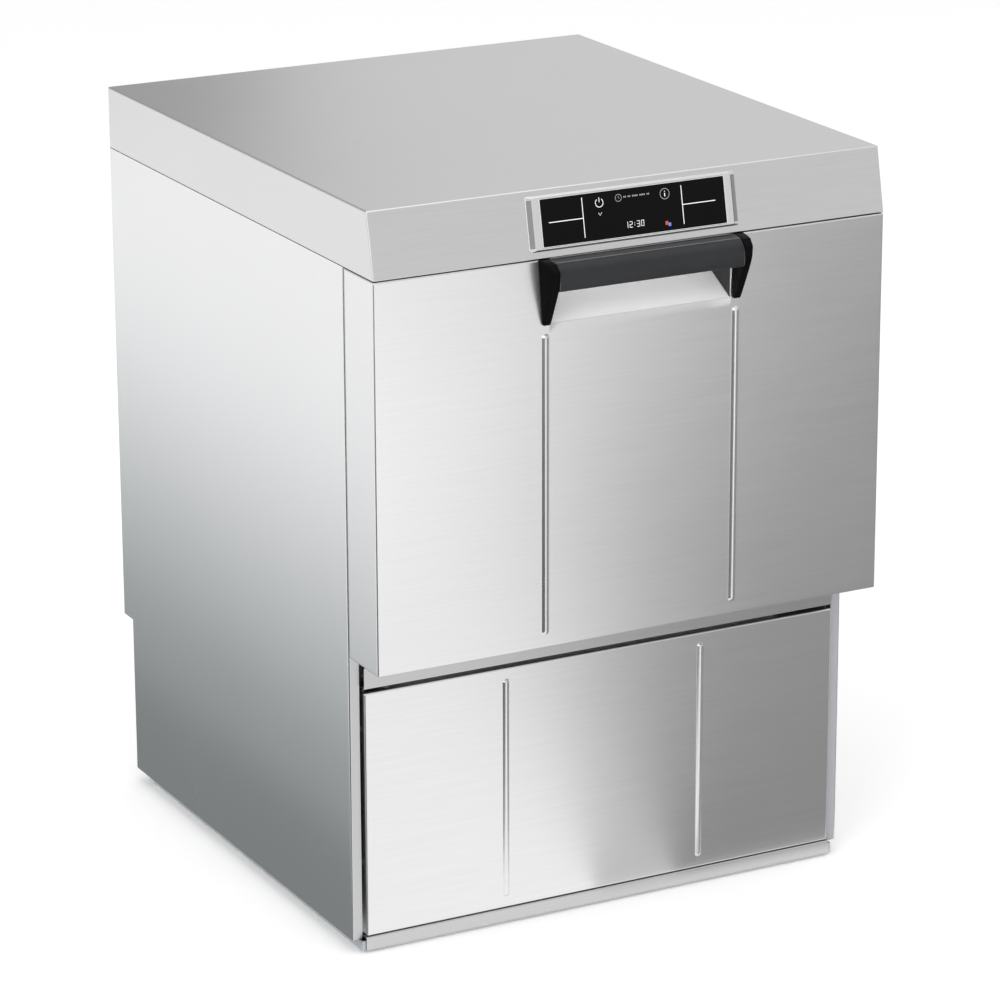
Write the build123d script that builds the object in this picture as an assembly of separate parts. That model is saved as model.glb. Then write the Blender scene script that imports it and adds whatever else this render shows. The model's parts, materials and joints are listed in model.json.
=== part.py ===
"""Under-counter commercial dishwasher, drop-down door, built as separate sheets, castings and fittings.

Row frame: +Z up, the door faces -Y, +X to the right of someone facing the door.
The origin is the centre of the footprint on the floor. All lengths are millimetres.
"""
import math
import os

from build123d import *

# ---------------------------------------------------------------- driving dimensions
WIDTH = 600.0            # over the side panels
HEIGHT = 820.0           # floor to the top of the cover
BODY_DEPTH = 667.0       # front of the door to the back of the casing
HANDLE_REACH = 26.0      # how far the handle stands in front of the door
DOOR_STEP = 69.0         # front of the door to the front edges of the side panels
DOOR_GAP = 2.5           # back of the door to the side panels
COVER_HEIGHT = 68.0
FASCIA_SETBACK = 14.0    # the top edge of the fascia lies this far behind its bottom edge
DOOR_BOTTOM = 333.0
COVER_GAP = 2.0          # top of the door to the cover
OVERHANG_Z = 198.0       # the lower back is set forward below this height
OVERHANG = 24.5
SHEET = 1.2              # thickness of every folded sheet
BEND = 1.8               # outside radius of the folds
HANDLE_X = 7.0           # centre of the handle and of the two door beads
BEAD_X = 112.5           # door beads, left and right of HANDLE_X
PANEL_BEAD_X = 119.0     # lower panel beads, left and right of the middle
CHAMBER_HALF = 265.0     # half the inside width of the wash chamber
CHAMBER_TOP = 738.0
TANK_RIM = 318.0
RAIL_Z = 372.0           # the rack slides on this height
ARM_RADIUS = 235.0
PIVOT_FORWARD = 22.0     # hinge pin, in front of the side panels' front edges
PIVOT_Z = 342.0

# ---------------------------------------------------------------- derived places
DEPTH = BODY_DEPTH + HANDLE_REACH
HALF_W = WIDTH / 2
FRONT = -DEPTH / 2 + HANDLE_REACH            # front face of the door
CASE = FRONT + DOOR_STEP                     # front edges of the side panels
REAR = DEPTH / 2
LOWER_REAR = REAR - OVERHANG
DOOR_BACK = CASE - DOOR_GAP
COVER_BOTTOM = HEIGHT - COVER_HEIGHT
DOOR_TOP = COVER_BOTTOM - COVER_GAP
PANEL_FRONT = CASE - 6.0                     # lower panel, crossmember
PANEL_HALF = 285.0
POST_HALF = 288.0                            # inner edges of the side panels' front returns
SIDE_BOTTOM = 15.0
TRAY_Z = 3.0
CHAMBER_FRONT = CASE + 3.0
CHAMBER_BACK = CASE + 545.0
ARM_Y = CASE + 275.0                         # axis of the spray arms
SILL_Z = 358.0
PIVOT_Y = CASE - PIVOT_FORWARD
PUMP_Z = 100.0
SUMP_X = -110.0
PIPE_X = -215.0                              # overflow pipe
PIPE_Y = CASE + 70.0
BACK_RUN = CASE + 559.0                      # risers run up behind the chamber here
ARM_FLIP = 1059.0                            # an upper arm's height is this less the lower one's

# ---------------------------------------------------------------- sizes that several pieces share
FASCIA_ANGLE = math.atan2(FASCIA_SETBACK, COVER_HEIGHT)
FASCIA = Plane(
    origin=(0, FRONT + FASCIA_SETBACK / 2, COVER_BOTTOM + COVER_HEIGHT / 2),
    x_dir=(1, 0, 0),
    z_dir=(0, -math.cos(FASCIA_ANGLE), math.sin(FASCIA_ANGLE)),
)
FRAME_W = 241.0
FRAME_H = 57.0
FRAME_RISE = 3.0
GLASS_W = 215.0
GLASS_H = 48.5
GLASS_T = 1.8
GLASS_BACK = 1.6         # back of the glass above the fascia sheet
FEET = {
    "foot_front_left": (-250.0, CASE + 40.0),
    "foot_front_right": (250.0, CASE + 40.0),
    "foot_rear_left": (-250.0, CASE + 505.0),
    "foot_rear_right": (250.0, CASE + 505.0),
}
FOOT_STEM = 5.0
SCREW_Y = CASE + 7.0
SCREW_Z = (100.0, 250.0)
SPRING_BOTTOM = 62.0
HINGE_NOTCH_TOP = 412.0
TANK_FLOOR = 222.0
SUMP_FLOOR = 168.0
HEATER_Z = 243.0
HEATER_ENDS = (CASE + 150.0, CASE + 190.0)
SPINDLE = 6.0
SHAFT = 8.0
OUTLET_Y = ARM_Y + 48.0
BOILER_X = (-180.0, 110.0)
BOILER_Y = CASE + 468.0
BOILER_Z = 90.0
BOILER_R = 68.0
INLET_X = 215.0
INLET_Z = 70.0
INLET_R = 13.2
INLET_LENGTH = 17.0
GLAND_Z = 140.0
OUTLET_Z = 60.0
DRAIN_R = 15.0
DRAIN_LENGTH = 19.0
POCKET_HALF = 106.0
FOLD_Z = 681.0
LEDGE_Z = 694.0
POCKET_BACK = FRONT + 44.0
PLATEAU_MID = 551.0
CAP_INNER = 108.5
BAR_TOP = 750.0
PIN = 4.0
BUSH = 6.0
TAIL = (60.0, -20.0)     # spring hook on the hinge arm, from the pivot

NODES = {}


def keep(name, shape):
    """Files a finished piece under its node name."""
    NODES[name] = shape


def block(x, y, z):
    """Cuboid between low and high values on each axis."""
    size = Box(x[1] - x[0], y[1] - y[0], z[1] - z[0], align=(Align.MIN, Align.MIN, Align.MIN))
    return Pos(x[0], y[0], z[0]) * size


def rod(start, direction, radius, length):
    """Cylinder from a start point along a direction."""
    base = Plane(origin=start, z_dir=direction)
    return base * Cylinder(radius, length, align=(Align.CENTER, Align.CENTER, Align.MIN))


def prism(outline, x):
    """Closed outline of (y, z) points carried along X."""
    side = Plane(origin=(x[0], 0, 0), x_dir=(0, 1, 0), z_dir=(1, 0, 0))
    return extrude(side * make_face(Polyline(*outline, close=True)), x[1] - x[0])


def flipped(shape):
    """The same piece on the left instead of the right."""
    return mirror(shape, about=Plane.YZ)


def pair(shape):
    """A piece and its mirror image, as two separate solids of one node."""
    return Compound(children=[Part(shape.wrapped), Part(flipped(shape).wrapped)])


def group(shapes):
    """Several separate solids filed as one node."""
    return Compound(children=[Part(shape.wrapped) for shape in shapes])


def pipe(points, bend, outer, inner=None):
    """Tube, or a solid bar without an inner radius, along straight runs joined by bends of one radius."""
    route = FilletPolyline(*points, radius=bend)
    ring = Circle(outer) - Circle(inner) if inner else Circle(outer)
    return sweep(Plane(origin=route @ 0, z_dir=route % 0) * ring, path=route)


def bead(x, y, z, width, height):
    """Vertical pressed bead with round ends and a round crown, standing proud of a front face."""
    half = width / 2
    crown = (half**2 + height**2) / (2 * height)
    centre = y + crown - height
    bar = rod((x, centre, z[0] + half), (0, 0, 1), crown, z[1] - z[0] - width)
    for end in (z[0] + half, z[1] - half):
        bar += Pos(x, centre, end) * Sphere(crown)
    keep_zone = block((x - half, x + half), (y - height - 1, y + SHEET / 2), (z[0], z[1]))
    return bar & keep_zone


def round_edges(shape, axis, where, radius):
    """Rounds the edges parallel to an axis that pass the test."""
    chosen = [edge for edge in shape.edges().filter_by(axis) if where(edge.center())]
    return fillet(chosen, radius)


def open_box(x, y, z):
    """Thin folded box of SHEET thickness, rounded on its folds, open towards +Y."""
    outer = block(x, y, z)
    folds = [edge for edge in outer.edges() if edge.center().Y < y[1] - 0.1]
    outer = fillet(folds, BEND)
    inner = block((x[0] + SHEET, x[1] - SHEET), (y[0] + SHEET, y[1] + SHEET), (z[0] + SHEET, z[1] - SHEET))
    return outer - inner


# ---------------------------------------------------------------- casing
def return_channel(y, z):
    """One side sheet seen in plan as a shallow C, with a return at the front and one at the back."""
    outer = block((POST_HALF, HALF_W), y, z)
    outer = round_edges(outer, Axis.Z, lambda point: point.X > HALF_W - 1, BEND)
    return outer - block((POST_HALF - 1, HALF_W - SHEET), (y[0] + SHEET, y[1] - SHEET), z)


def make_side_panels():
    """Outer side sheets, shorter at the bottom of the back where the casing steps forward."""
    upper = return_channel((CASE, REAR), (OVERHANG_Z, COVER_BOTTOM - 1.5))
    lower = return_channel((CASE, LOWER_REAR), (SIDE_BOTTOM, OVERHANG_Z))
    panel = upper + lower
    keep("side_panel_right", panel)
    keep("side_panel_left", flipped(panel))


def make_rear_panel():
    """Back sheet in two levels with a shelf between, holes for the fittings and a louvre field."""
    half = POST_HALF - 0.5
    upper = block((-half, half), (REAR - SHEET, REAR), (OVERHANG_Z, COVER_BOTTOM - 1.5))
    shelf = block((-half, half), (LOWER_REAR, REAR), (OVERHANG_Z, OVERHANG_Z + SHEET))
    lower = block((-half, half), (LOWER_REAR - SHEET, LOWER_REAR), (SIDE_BOTTOM + 1, OVERHANG_Z + SHEET))
    sheet = upper + shelf + lower
    for x, z, radius in ((INLET_X, INLET_Z, 14.0), (PIPE_X, OUTLET_Z, 15.2), (INLET_X, GLAND_Z, 10.2)):
        sheet -= rod((x, LOWER_REAR - 5, z), (0, 1, 0), radius, 10)
    slots = [
        block((-60, 60), (REAR - 5, REAR + 5), (z, z + 4))
        for z in (640, 652, 664, 676, 688, 700)
    ]
    return sheet - slots


def make_cover():
    """Top cover, folded down all round, with the sloping fascia and the pressed display frame."""
    outline = [
        (FRONT, COVER_BOTTOM),
        (FRONT + FASCIA_SETBACK, HEIGHT),
        (REAR, HEIGHT),
        (REAR, COVER_BOTTOM),
    ]
    outer = prism(outline, (-HALF_W, HALF_W))
    outer = fillet([edge for edge in outer.edges() if edge.center().Z > COVER_BOTTOM + 1], BEND)
    wall = SHEET / math.cos(FASCIA_ANGLE)
    hollow = [
        (FRONT + wall - SHEET * math.tan(FASCIA_ANGLE), COVER_BOTTOM - SHEET),
        (FRONT + FASCIA_SETBACK + wall - SHEET * math.tan(FASCIA_ANGLE), HEIGHT - SHEET),
        (REAR - SHEET, HEIGHT - SHEET),
        (REAR - SHEET, COVER_BOTTOM - SHEET),
    ]
    cover = outer - prism(hollow, (-HALF_W + SHEET, HALF_W - SHEET))
    lip_z = (COVER_BOTTOM, COVER_BOTTOM + SHEET)
    cover += block((-HALF_W + SHEET, HALF_W - SHEET), (FRONT + SHEET, FRONT + 14), lip_z)
    frame = FASCIA * Box(FRAME_W, FRAME_H, 2 * FRAME_RISE)
    rim = [edge for edge in frame.edges() if (FASCIA.location.inverse() * edge).center().Z > FRAME_RISE - 0.1]
    frame = chamfer(rim, FRAME_RISE - 0.4)
    frame -= FASCIA * Pos(0, 0, -FRAME_RISE - SHEET / 2) * Box(FRAME_W + 2, FRAME_H + 2, 2 * FRAME_RISE)
    cover += frame
    seat = FASCIA * Pos(0, 0, GLASS_BACK) * Box(
        GLASS_W + 0.4, GLASS_H + 0.4, 10, align=(Align.CENTER, Align.CENTER, Align.MIN)
    )
    window = FASCIA * Box(GLASS_W - 16, GLASS_H - 12, 20)
    return cover - seat - window


def make_display():
    """Touch glass in the frame, and the electronics module behind it."""
    glass = FASCIA * Pos(0, 0, GLASS_BACK) * Box(
        GLASS_W, GLASS_H, GLASS_T, align=(Align.CENTER, Align.CENTER, Align.MIN)
    )
    keep("display_glass", glass)
    module = FASCIA * Pos(0, 1, -SHEET - 0.3) * Box(
        206, 46, 18, align=(Align.CENTER, Align.CENTER, Align.MAX)
    )
    module += FASCIA * Pos(0, 0, GLASS_BACK - 0.2) * Box(
        GLASS_W - 20, GLASS_H - 16, GLASS_BACK + SHEET + 2, align=(Align.CENTER, Align.CENTER, Align.MAX)
    )
    keep("control_module", module)


# ---------------------------------------------------------------- base, feet and lower front
def make_base():
    """Tray under the machine with a low rim and four welded nuts for the feet."""
    half = 291.0
    y = (PANEL_FRONT + 0.3, CASE + 546.0)
    tray = block((-half, half), y, (TRAY_Z, SIDE_BOTTOM - 1))
    tray = round_edges(tray, Axis.Z, lambda point: True, BEND)
    tray -= block((-half + SHEET, half - SHEET), (y[0] + SHEET, y[1] - SHEET), (TRAY_Z + SHEET, 40))
    for x, foot_y in FEET.values():
        nut = Pos(x, foot_y, TRAY_Z + SHEET) * extrude(RegularPolygon(9.5, 6), 12)
        tray += nut
        tray -= rod((x, foot_y, 0), (0, 0, 1), FOOT_STEM + 0.05, 40)
    return tray


def make_foot(x, y):
    """Levelling foot: a low round pad on a stem that screws into the tray."""
    pad = rod((x, y, 0), (0, 0, 1), 17, 2.7)
    pad = fillet(pad.edges().sort_by(Axis.Z)[-1], 1)
    return pad + rod((x, y, 1), (0, 0, 1), FOOT_STEM, 38)


def make_lower_front():
    """Lower front panel with two beads, its side screws, the plinth and the crossmember."""
    z = (19.5, 292.0)
    panel = open_box((-PANEL_HALF, PANEL_HALF), (PANEL_FRONT, CASE + 12), z)
    for x in (-PANEL_BEAD_X, PANEL_BEAD_X):
        panel += bead(x, PANEL_FRONT, (32, 280), 7.5, 2.4)
    screws = []
    for side in (-1, 1):
        panel -= block(sorted((side * 281, side * 283.7)), (CASE + 1.5, CASE + 13), z)
        for screw_z in SCREW_Z:
            at = (side * 276, SCREW_Y, screw_z)
            panel -= rod(at, (side, 0, 0), 2.2, 14)
            head = rod((side * 285.1, SCREW_Y, screw_z), (side, 0, 0), 3.6, 2.2)
            screws.append(rod(at, (side, 0, 0), 2, 9.1) + head)
    keep("lower_front_panel", panel)
    keep("panel_screws", group(screws))
    plinth = block((-286.5, 286.5), (PANEL_FRONT - 1.5, CASE + 1.5), (2.6, 18.3))
    plinth = round_edges(plinth, Axis.X, lambda point: point.Y < PANEL_FRONT, 1.4)
    plinth -= block((-290, 290), (PANEL_FRONT - 0.3, CASE + 20), (0, 17.1))
    keep("front_plinth", plinth)
    inner = CHAMBER_HALF - 0.5
    member = block((-PANEL_HALF, PANEL_HALF), (PANEL_FRONT, PANEL_FRONT + SHEET), (297, 320))
    member += block((-inner, inner), (PANEL_FRONT, CASE + 8), (320 - SHEET, 320))
    member += block((-inner, inner), (CASE + 8 - SHEET, CASE + 8), (320 - SHEET, SILL_Z))
    member += block((-inner, inner), (CASE + 1, CASE + 8), (SILL_Z - SHEET, SILL_Z))
    member += block((-PANEL_HALF, PANEL_HALF), (PANEL_FRONT, CASE + 14), (297, 297 + SHEET))
    keep("front_crossmember", member)


def make_frame_posts():
    """Four angle posts that carry the chamber on the tray, the front ones with a spring anchor."""
    front = block((281.5, 283), (CASE + 2, CASE + 30), (4.4, 296))
    front += block((262, 283), (CASE + 28.5, CASE + 30), (4.4, 296))
    for screw_z in SCREW_Z:
        front -= rod((275, SCREW_Y, screw_z), (1, 0, 0), 2.2, 14)
    front += block((281.5, 285), (CASE + 28.5, CASE + 44), (44, SPRING_BOTTOM - 0.3))
    back = block((281.5, 283), (CASE + 520, CASE + 544), (4.4, 735))
    back += block((268, 283), (CASE + 542.5, CASE + 544), (4.4, 735))
    return group([front, flipped(front), back, flipped(back)])


# ---------------------------------------------------------------- wash chamber
def make_chamber():
    """Chamber walls, ceiling and the pressed tank under them, each a separate sheet."""
    low = TANK_RIM + 0.1
    depth = (CHAMBER_FRONT, CHAMBER_BACK + SHEET)
    side = block((CHAMBER_HALF, CHAMBER_HALF + SHEET), depth, (low, CHAMBER_TOP))
    flange_y = (CHAMBER_FRONT, CHAMBER_FRONT + SHEET)
    side += block((CHAMBER_HALF, 287), flange_y, (HINGE_NOTCH_TOP, CHAMBER_TOP))
    side += block((CHAMBER_HALF, 274), flange_y, (SILL_Z + 4, HINGE_NOTCH_TOP))
    keep("chamber_side_right", side)
    keep("chamber_side_left", flipped(side))
    inner = CHAMBER_HALF - 0.1
    keep("chamber_rear", block((-inner, inner), (CHAMBER_BACK, CHAMBER_BACK + SHEET), (low, CHAMBER_TOP)))
    roof_x = (-CHAMBER_HALF - SHEET, CHAMBER_HALF + SHEET)
    roof = block(roof_x, depth, (CHAMBER_TOP + 0.1, CHAMBER_TOP + 0.1 + SHEET))
    roof += block((-274, 274), flange_y, (CHAMBER_TOP + 0.1, CHAMBER_TOP + 9))
    roof -= rod((0, ARM_Y, CHAMBER_TOP - 5), (0, 0, 1), 9.2, 20)
    keep("chamber_ceiling", roof)


def make_tank():
    """Pressed tank with sloping walls, a round sump and a drain mouth under the overflow pipe."""
    middle = (CASE + 8.2 + CHAMBER_BACK + SHEET) / 2
    down = Plane(origin=(0, middle, TANK_RIM), z_dir=(0, 0, -1))
    deep = TANK_RIM - TANK_FLOOR
    outer = extrude(down * RectangleRounded(514.4, 514.4, 41.2), deep + SHEET, taper=8)
    inner = extrude(down * RectangleRounded(512, 512, 40), deep, taper=8)
    rim_y = (CASE + 8.2, CHAMBER_BACK + SHEET)
    rim = block((-CHAMBER_HALF - SHEET, CHAMBER_HALF + SHEET), rim_y, (TANK_RIM - SHEET, TANK_RIM))
    sump = rod((SUMP_X, ARM_Y, SUMP_FLOOR - SHEET), (0, 0, 1), 62 + SHEET, TANK_FLOOR - SUMP_FLOOR)
    tank = outer + rim + sump
    tank -= inner
    tank -= rod((SUMP_X, ARM_Y, SUMP_FLOOR), (0, 0, 1), 62, TANK_FLOOR - SUMP_FLOOR + 1)
    tank -= rod((SUMP_X, ARM_Y, SUMP_FLOOR - 5), (0, 0, 1), 17.5, 10)
    tank -= rod((PIPE_X, PIPE_Y, TANK_FLOOR - 5), (0, 0, 1), 15, 10)
    tank -= rod((0, ARM_Y, TANK_FLOOR - 5), (0, 0, 1), 14.1, 10)
    for y in HEATER_ENDS:
        tank -= rod((230, y, HEATER_Z), (1, 0, 0), 4.4, 30)
    return tank


def make_filters():
    """Two flat sieve plates over the tank, slotted, cut out for the post, strainer and overflow pipe."""
    plates = []
    for side in (-1, 1):
        x = sorted((side * 0.8, side * 251))
        y = (CASE + 26, CHAMBER_BACK - 18)
        plate = block(x, y, (303, 304.5))
        plate = round_edges(plate, Axis.Z, lambda point: abs(point.X) > 100, 38)
        slots = [
            Pos(side * (34 + 45 * column), y[0] + 24 + 22 * row, 303) * Box(34, 4, 8)
            for column in range(5)
            for row in range(21)
        ]
        edge = 9
        border = block((x[0] + edge, x[1] - edge), (y[0] + edge, y[1] - edge), (300, 308))
        ring = 8
        for centre, radius in (((0, ARM_Y), 16), ((SUMP_X, ARM_Y), 50), ((PIPE_X, PIPE_Y), 20)):
            border -= rod((*centre, 298), (0, 0, 1), radius + ring, 14)
        plate -= [slot & border for slot in slots if (slot & border)]
        for centre, radius in (((0, ARM_Y), 16), ((SUMP_X, ARM_Y), 50), ((PIPE_X, PIPE_Y), 20)):
            plate -= rod((*centre, 298), (0, 0, 1), radius, 14)
        plates.append(plate)
    return group(plates)


def make_strainer():
    """Lift-out strainer basket in the sump, hung by its flange, with a bail on top."""
    body = rod((SUMP_X, ARM_Y, SUMP_FLOOR + 3), (0, 0, 1), 48, 132)
    body -= rod((SUMP_X, ARM_Y, SUMP_FLOOR + 5), (0, 0, 1), 46.5, 140)
    windows = [
        Pos(SUMP_X, ARM_Y, SUMP_FLOOR + 30 + 30 * row) * Rot(0, 0, 22.5 * turn) * Box(120, 9, 20)
        for row in range(3)
        for turn in range(8)
    ]
    body -= windows
    flange = rod((SUMP_X, ARM_Y, 304.7), (0, 0, 1), 56, 2) - rod((SUMP_X, ARM_Y, 300), (0, 0, 1), 46.5, 10)
    neck = rod((SUMP_X, ARM_Y, 290), (0, 0, 1), 48, 15) - rod((SUMP_X, ARM_Y, 289), (0, 0, 1), 46.5, 20)
    front, back = ARM_Y - 47.2, ARM_Y + 47.2
    handle = [(SUMP_X, front, 303), (SUMP_X, front, 320), (SUMP_X, back, 320), (SUMP_X, back, 303)]
    bail = pipe(handle, 12, 1.8)
    return body + neck + flange + bail


def make_rails():
    """Angle rails at each side that the rack slides on, held off the wall by three spacers."""
    y = (CASE + 24, CHAMBER_BACK - 9)
    rail = block((238, 262.6), y, (RAIL_Z - SHEET, RAIL_Z))
    rail += block((262.6 - SHEET, 262.6), y, (RAIL_Z - SHEET, RAIL_Z + 24))
    rail = round_edges(rail, Axis.Y, lambda point: point.X > 262 and point.Z < RAIL_Z, 1)
    for middle in (CASE + 70, ARM_Y, CASE + 480):
        rail += block((262, CHAMBER_HALF - 0.05), (middle - 10, middle + 10), (RAIL_Z + 4, RAIL_Z + 20))
    return pair(rail)


# ---------------------------------------------------------------- spray arms
def spray_post(lower):
    """Feed post for one pair of arms: a hollow boss through the sheet and a slim spindle."""
    if lower:
        post = rod((0, ARM_Y, 200), (0, 0, 1), 14, 126)
        post += rod((0, ARM_Y, TANK_FLOOR + 0.1), (0, 0, 1), 22, 4)
        spindle = (326.0, 364.0)
    else:
        post = rod((0, ARM_Y, 733), (0, 0, 1), 14, 4.8)
        post += rod((0, ARM_Y, 733), (0, 0, 1), 9, 24)
        post += rod((0, ARM_Y, 739.4), (0, 0, 1), 15, 17)
        spindle = (695.0, 734.0)
    post += rod((0, ARM_Y, spindle[0]), (0, 0, 1), SPINDLE, spindle[1] - spindle[0])
    return post


def wash_arm(z, up, turn):
    """Flat hollow wash arm: wide in the middle, round ends, raised jets on the side of the rack."""
    tip = ARM_RADIUS - 15
    rings = [Circle(24), Pos(tip, 0) * Circle(15), Pos(-tip, 0) * Circle(15)]
    plan = make_hull([edge for ring in rings for edge in ring.edges()])
    arm = extrude(plan, 14)
    arm = fillet(arm.edges(), 4)
    arm += rod((0, 0, 0), (0, 0, 1), 17, 16)
    for index in range(-5, 6):
        if index:
            jet = rod((40 * index, 5 * (-1) ** index, 13), (0, 0, 1), 4.5, 2.6)
            arm += jet
            arm -= Pos(40 * index, 5 * (-1) ** index, 16) * Box(6, 1.6, 3)
    arm -= rod((0, 0, -1), (0, 0, 1), SPINDLE + 0.05, 20)
    return place_arm(arm, z, up, turn)


def rinse_arm(z, up, turn):
    """Slim rinse arm: a closed tube through a hub, with flat-spray jets."""
    tube = rod((-ARM_RADIUS + 12, 0, 5), (1, 0, 0), 5, 2 * ARM_RADIUS - 24)
    arm = tube + rod((0, 0, 0), (0, 0, 1), 14, 10)
    for index in (-5, -4, -3, -2, 2, 3, 4, 5):
        arm += rod((42 * index, 0, 7), (0, 0, 1), 3.2, 3)
    arm -= rod((0, 0, -1), (0, 0, 1), SPINDLE + 0.05, 20)
    return place_arm(arm, z, up, turn)


def place_arm(arm, z, up, turn):
    """Turns an arm made on the origin to its rest angle and sets it on its spindle."""
    arm = Rot(0, 0, turn) * arm
    if not up:
        arm = mirror(arm, about=Plane.XY)
    return Pos(0, ARM_Y, z) * arm


def arm_knob(low):
    """Fluted retaining knob on the spindle."""
    knob = rod((0, ARM_Y, low), (0, 0, 1), 13, 8.5)
    flutes = [
        Pos(13.5 * math.cos(turn), ARM_Y + 13.5 * math.sin(turn), low + 4) * Cylinder(1.8, 12)
        for turn in (index * math.pi / 5 for index in range(10))
    ]
    knob -= flutes
    return knob - rod((0, ARM_Y, low - 1), (0, 0, 1), SPINDLE, 12)


def make_arms():
    """Both pairs of spray arms with their posts and knobs."""
    keep("spray_posts", group([spray_post(True), spray_post(False)]))
    keep("lower_wash_arm", wash_arm(327, True, 35))
    keep("upper_wash_arm", wash_arm(ARM_FLIP - 327, False, 62))
    keep("lower_rinse_arm", rinse_arm(346, True, -40))
    keep("upper_rinse_arm", rinse_arm(ARM_FLIP - 346, False, -28))
    keep("arm_knobs", group([arm_knob(357.5), arm_knob(693)]))


def make_overflow_pipe():
    """Pull-out overflow pipe that stands in the drain mouth, with a mushroom grip on top."""
    z = (TANK_FLOOR + 0.3, 300.0)
    tube = rod((PIPE_X, PIPE_Y, z[0]), (0, 0, 1), 17, z[1] - z[0])
    tube -= rod((PIPE_X, PIPE_Y, z[0] - 1), (0, 0, 1), 14.8, z[1] - z[0] - 6)
    windows = [Pos(PIPE_X, PIPE_Y, 288) * Rot(0, 0, 45 * turn) * Box(50, 7, 8) for turn in range(4)]
    tube -= windows
    tube += rod((PIPE_X, PIPE_Y, 299), (0, 0, 1), 7, 9)
    grip = fillet(rod((PIPE_X, PIPE_Y, 307), (0, 0, 1), 15, 7).edges(), 2.5)
    return tube + grip


# ---------------------------------------------------------------- water, heat and electrics
def make_pump():
    """Wash pump: volute with a vertical outlet, impeller on the motor shaft, motor on its foot."""
    shell = rod((-20, ARM_Y, PUMP_Z), (1, 0, 0), 62, 40)
    shell = fillet(shell.edges(), 5)
    shell += rod((0, OUTLET_Y, PUMP_Z), (0, 0, 1), 13, 50)
    shell += rod((-32, ARM_Y, PUMP_Z), (1, 0, 0), 24, 14)
    shell -= rod((-16, ARM_Y, PUMP_Z), (1, 0, 0), 54, 32)
    shell -= rod((0, OUTLET_Y, PUMP_Z), (0, 0, 1), 10.5, 60)
    shell -= rod((-33, ARM_Y, PUMP_Z), (1, 0, 0), 20, 20)
    shell -= rod((10, ARM_Y, PUMP_Z), (1, 0, 0), SHAFT + 0.05, 20)
    keep("pump_housing", shell)
    wheel = rod((2, ARM_Y, PUMP_Z), (1, 0, 0), 45, 4)
    wheel += rod((-8, ARM_Y, PUMP_Z), (1, 0, 0), 10, 12)
    for index in range(6):
        vane = Pos(-3, ARM_Y, PUMP_Z) * Rot(60 * index, 0, 0) * Pos(0, 0, 26) * Box(11, 2.5, 34)
        wheel += vane
    wheel += rod((4, ARM_Y, PUMP_Z), (1, 0, 0), SHAFT, 60)
    keep("pump_impeller", wheel)
    motor = rod((20.3, ARM_Y, PUMP_Z), (1, 0, 0), 50, 150)
    motor = fillet(motor.edges().sort_by(Axis.X)[-1], 8)
    for index in range(24):
        motor += Pos(90, ARM_Y, PUMP_Z) * Rot(15 * index, 0, 0) * Pos(0, 0, 51) * Box(110, 1.6, 6)
    motor += block((50, 130), (ARM_Y - 34, ARM_Y + 34), (4.4, 60))
    motor += block((60, 120), (ARM_Y - 30, ARM_Y + 20), (145, 172))
    motor -= rod((19, ARM_Y, PUMP_Z), (1, 0, 0), SHAFT + 0.05, 48)
    keep("pump_motor", motor)
    elbow = [(SUMP_X, ARM_Y, SUMP_FLOOR - SHEET - 0.1), (SUMP_X, ARM_Y, PUMP_Z), (-32.2, ARM_Y, PUMP_Z)]
    keep("suction_elbow", pipe(elbow, 34, 20, 17.5))


def make_pipework():
    """Wash riser from the pump to the upper arms with the branch to the lower arms, and the rinse pipe."""
    riser_z = 174.5
    riser = [
        (0, OUTLET_Y, PUMP_Z + 50.1),
        (0, OUTLET_Y, riser_z),
        (0, BACK_RUN, riser_z),
        (0, BACK_RUN, 770),
        (0, ARM_Y, 770),
        (0, ARM_Y, 756.6),
    ]
    upper = pipe(riser, 12.5, 11, 9)
    branch = pipe([(0, OUTLET_Y - 4, riser_z), (0, ARM_Y, riser_z), (0, ARM_Y, 199.9)], 12.5, 11, 9)
    keep("wash_pipework", upper + branch)
    rinse = [
        (40, BOILER_Y, BOILER_Z + BOILER_R + 0.2),
        (40, BOILER_Y, 178),
        (40, BACK_RUN, 178),
        (40, BACK_RUN, 748),
        (40, ARM_Y, 748),
        (15.2, ARM_Y, 748),
    ]
    keep("rinse_pipe", pipe(rinse, 10, 5, 4))


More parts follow.
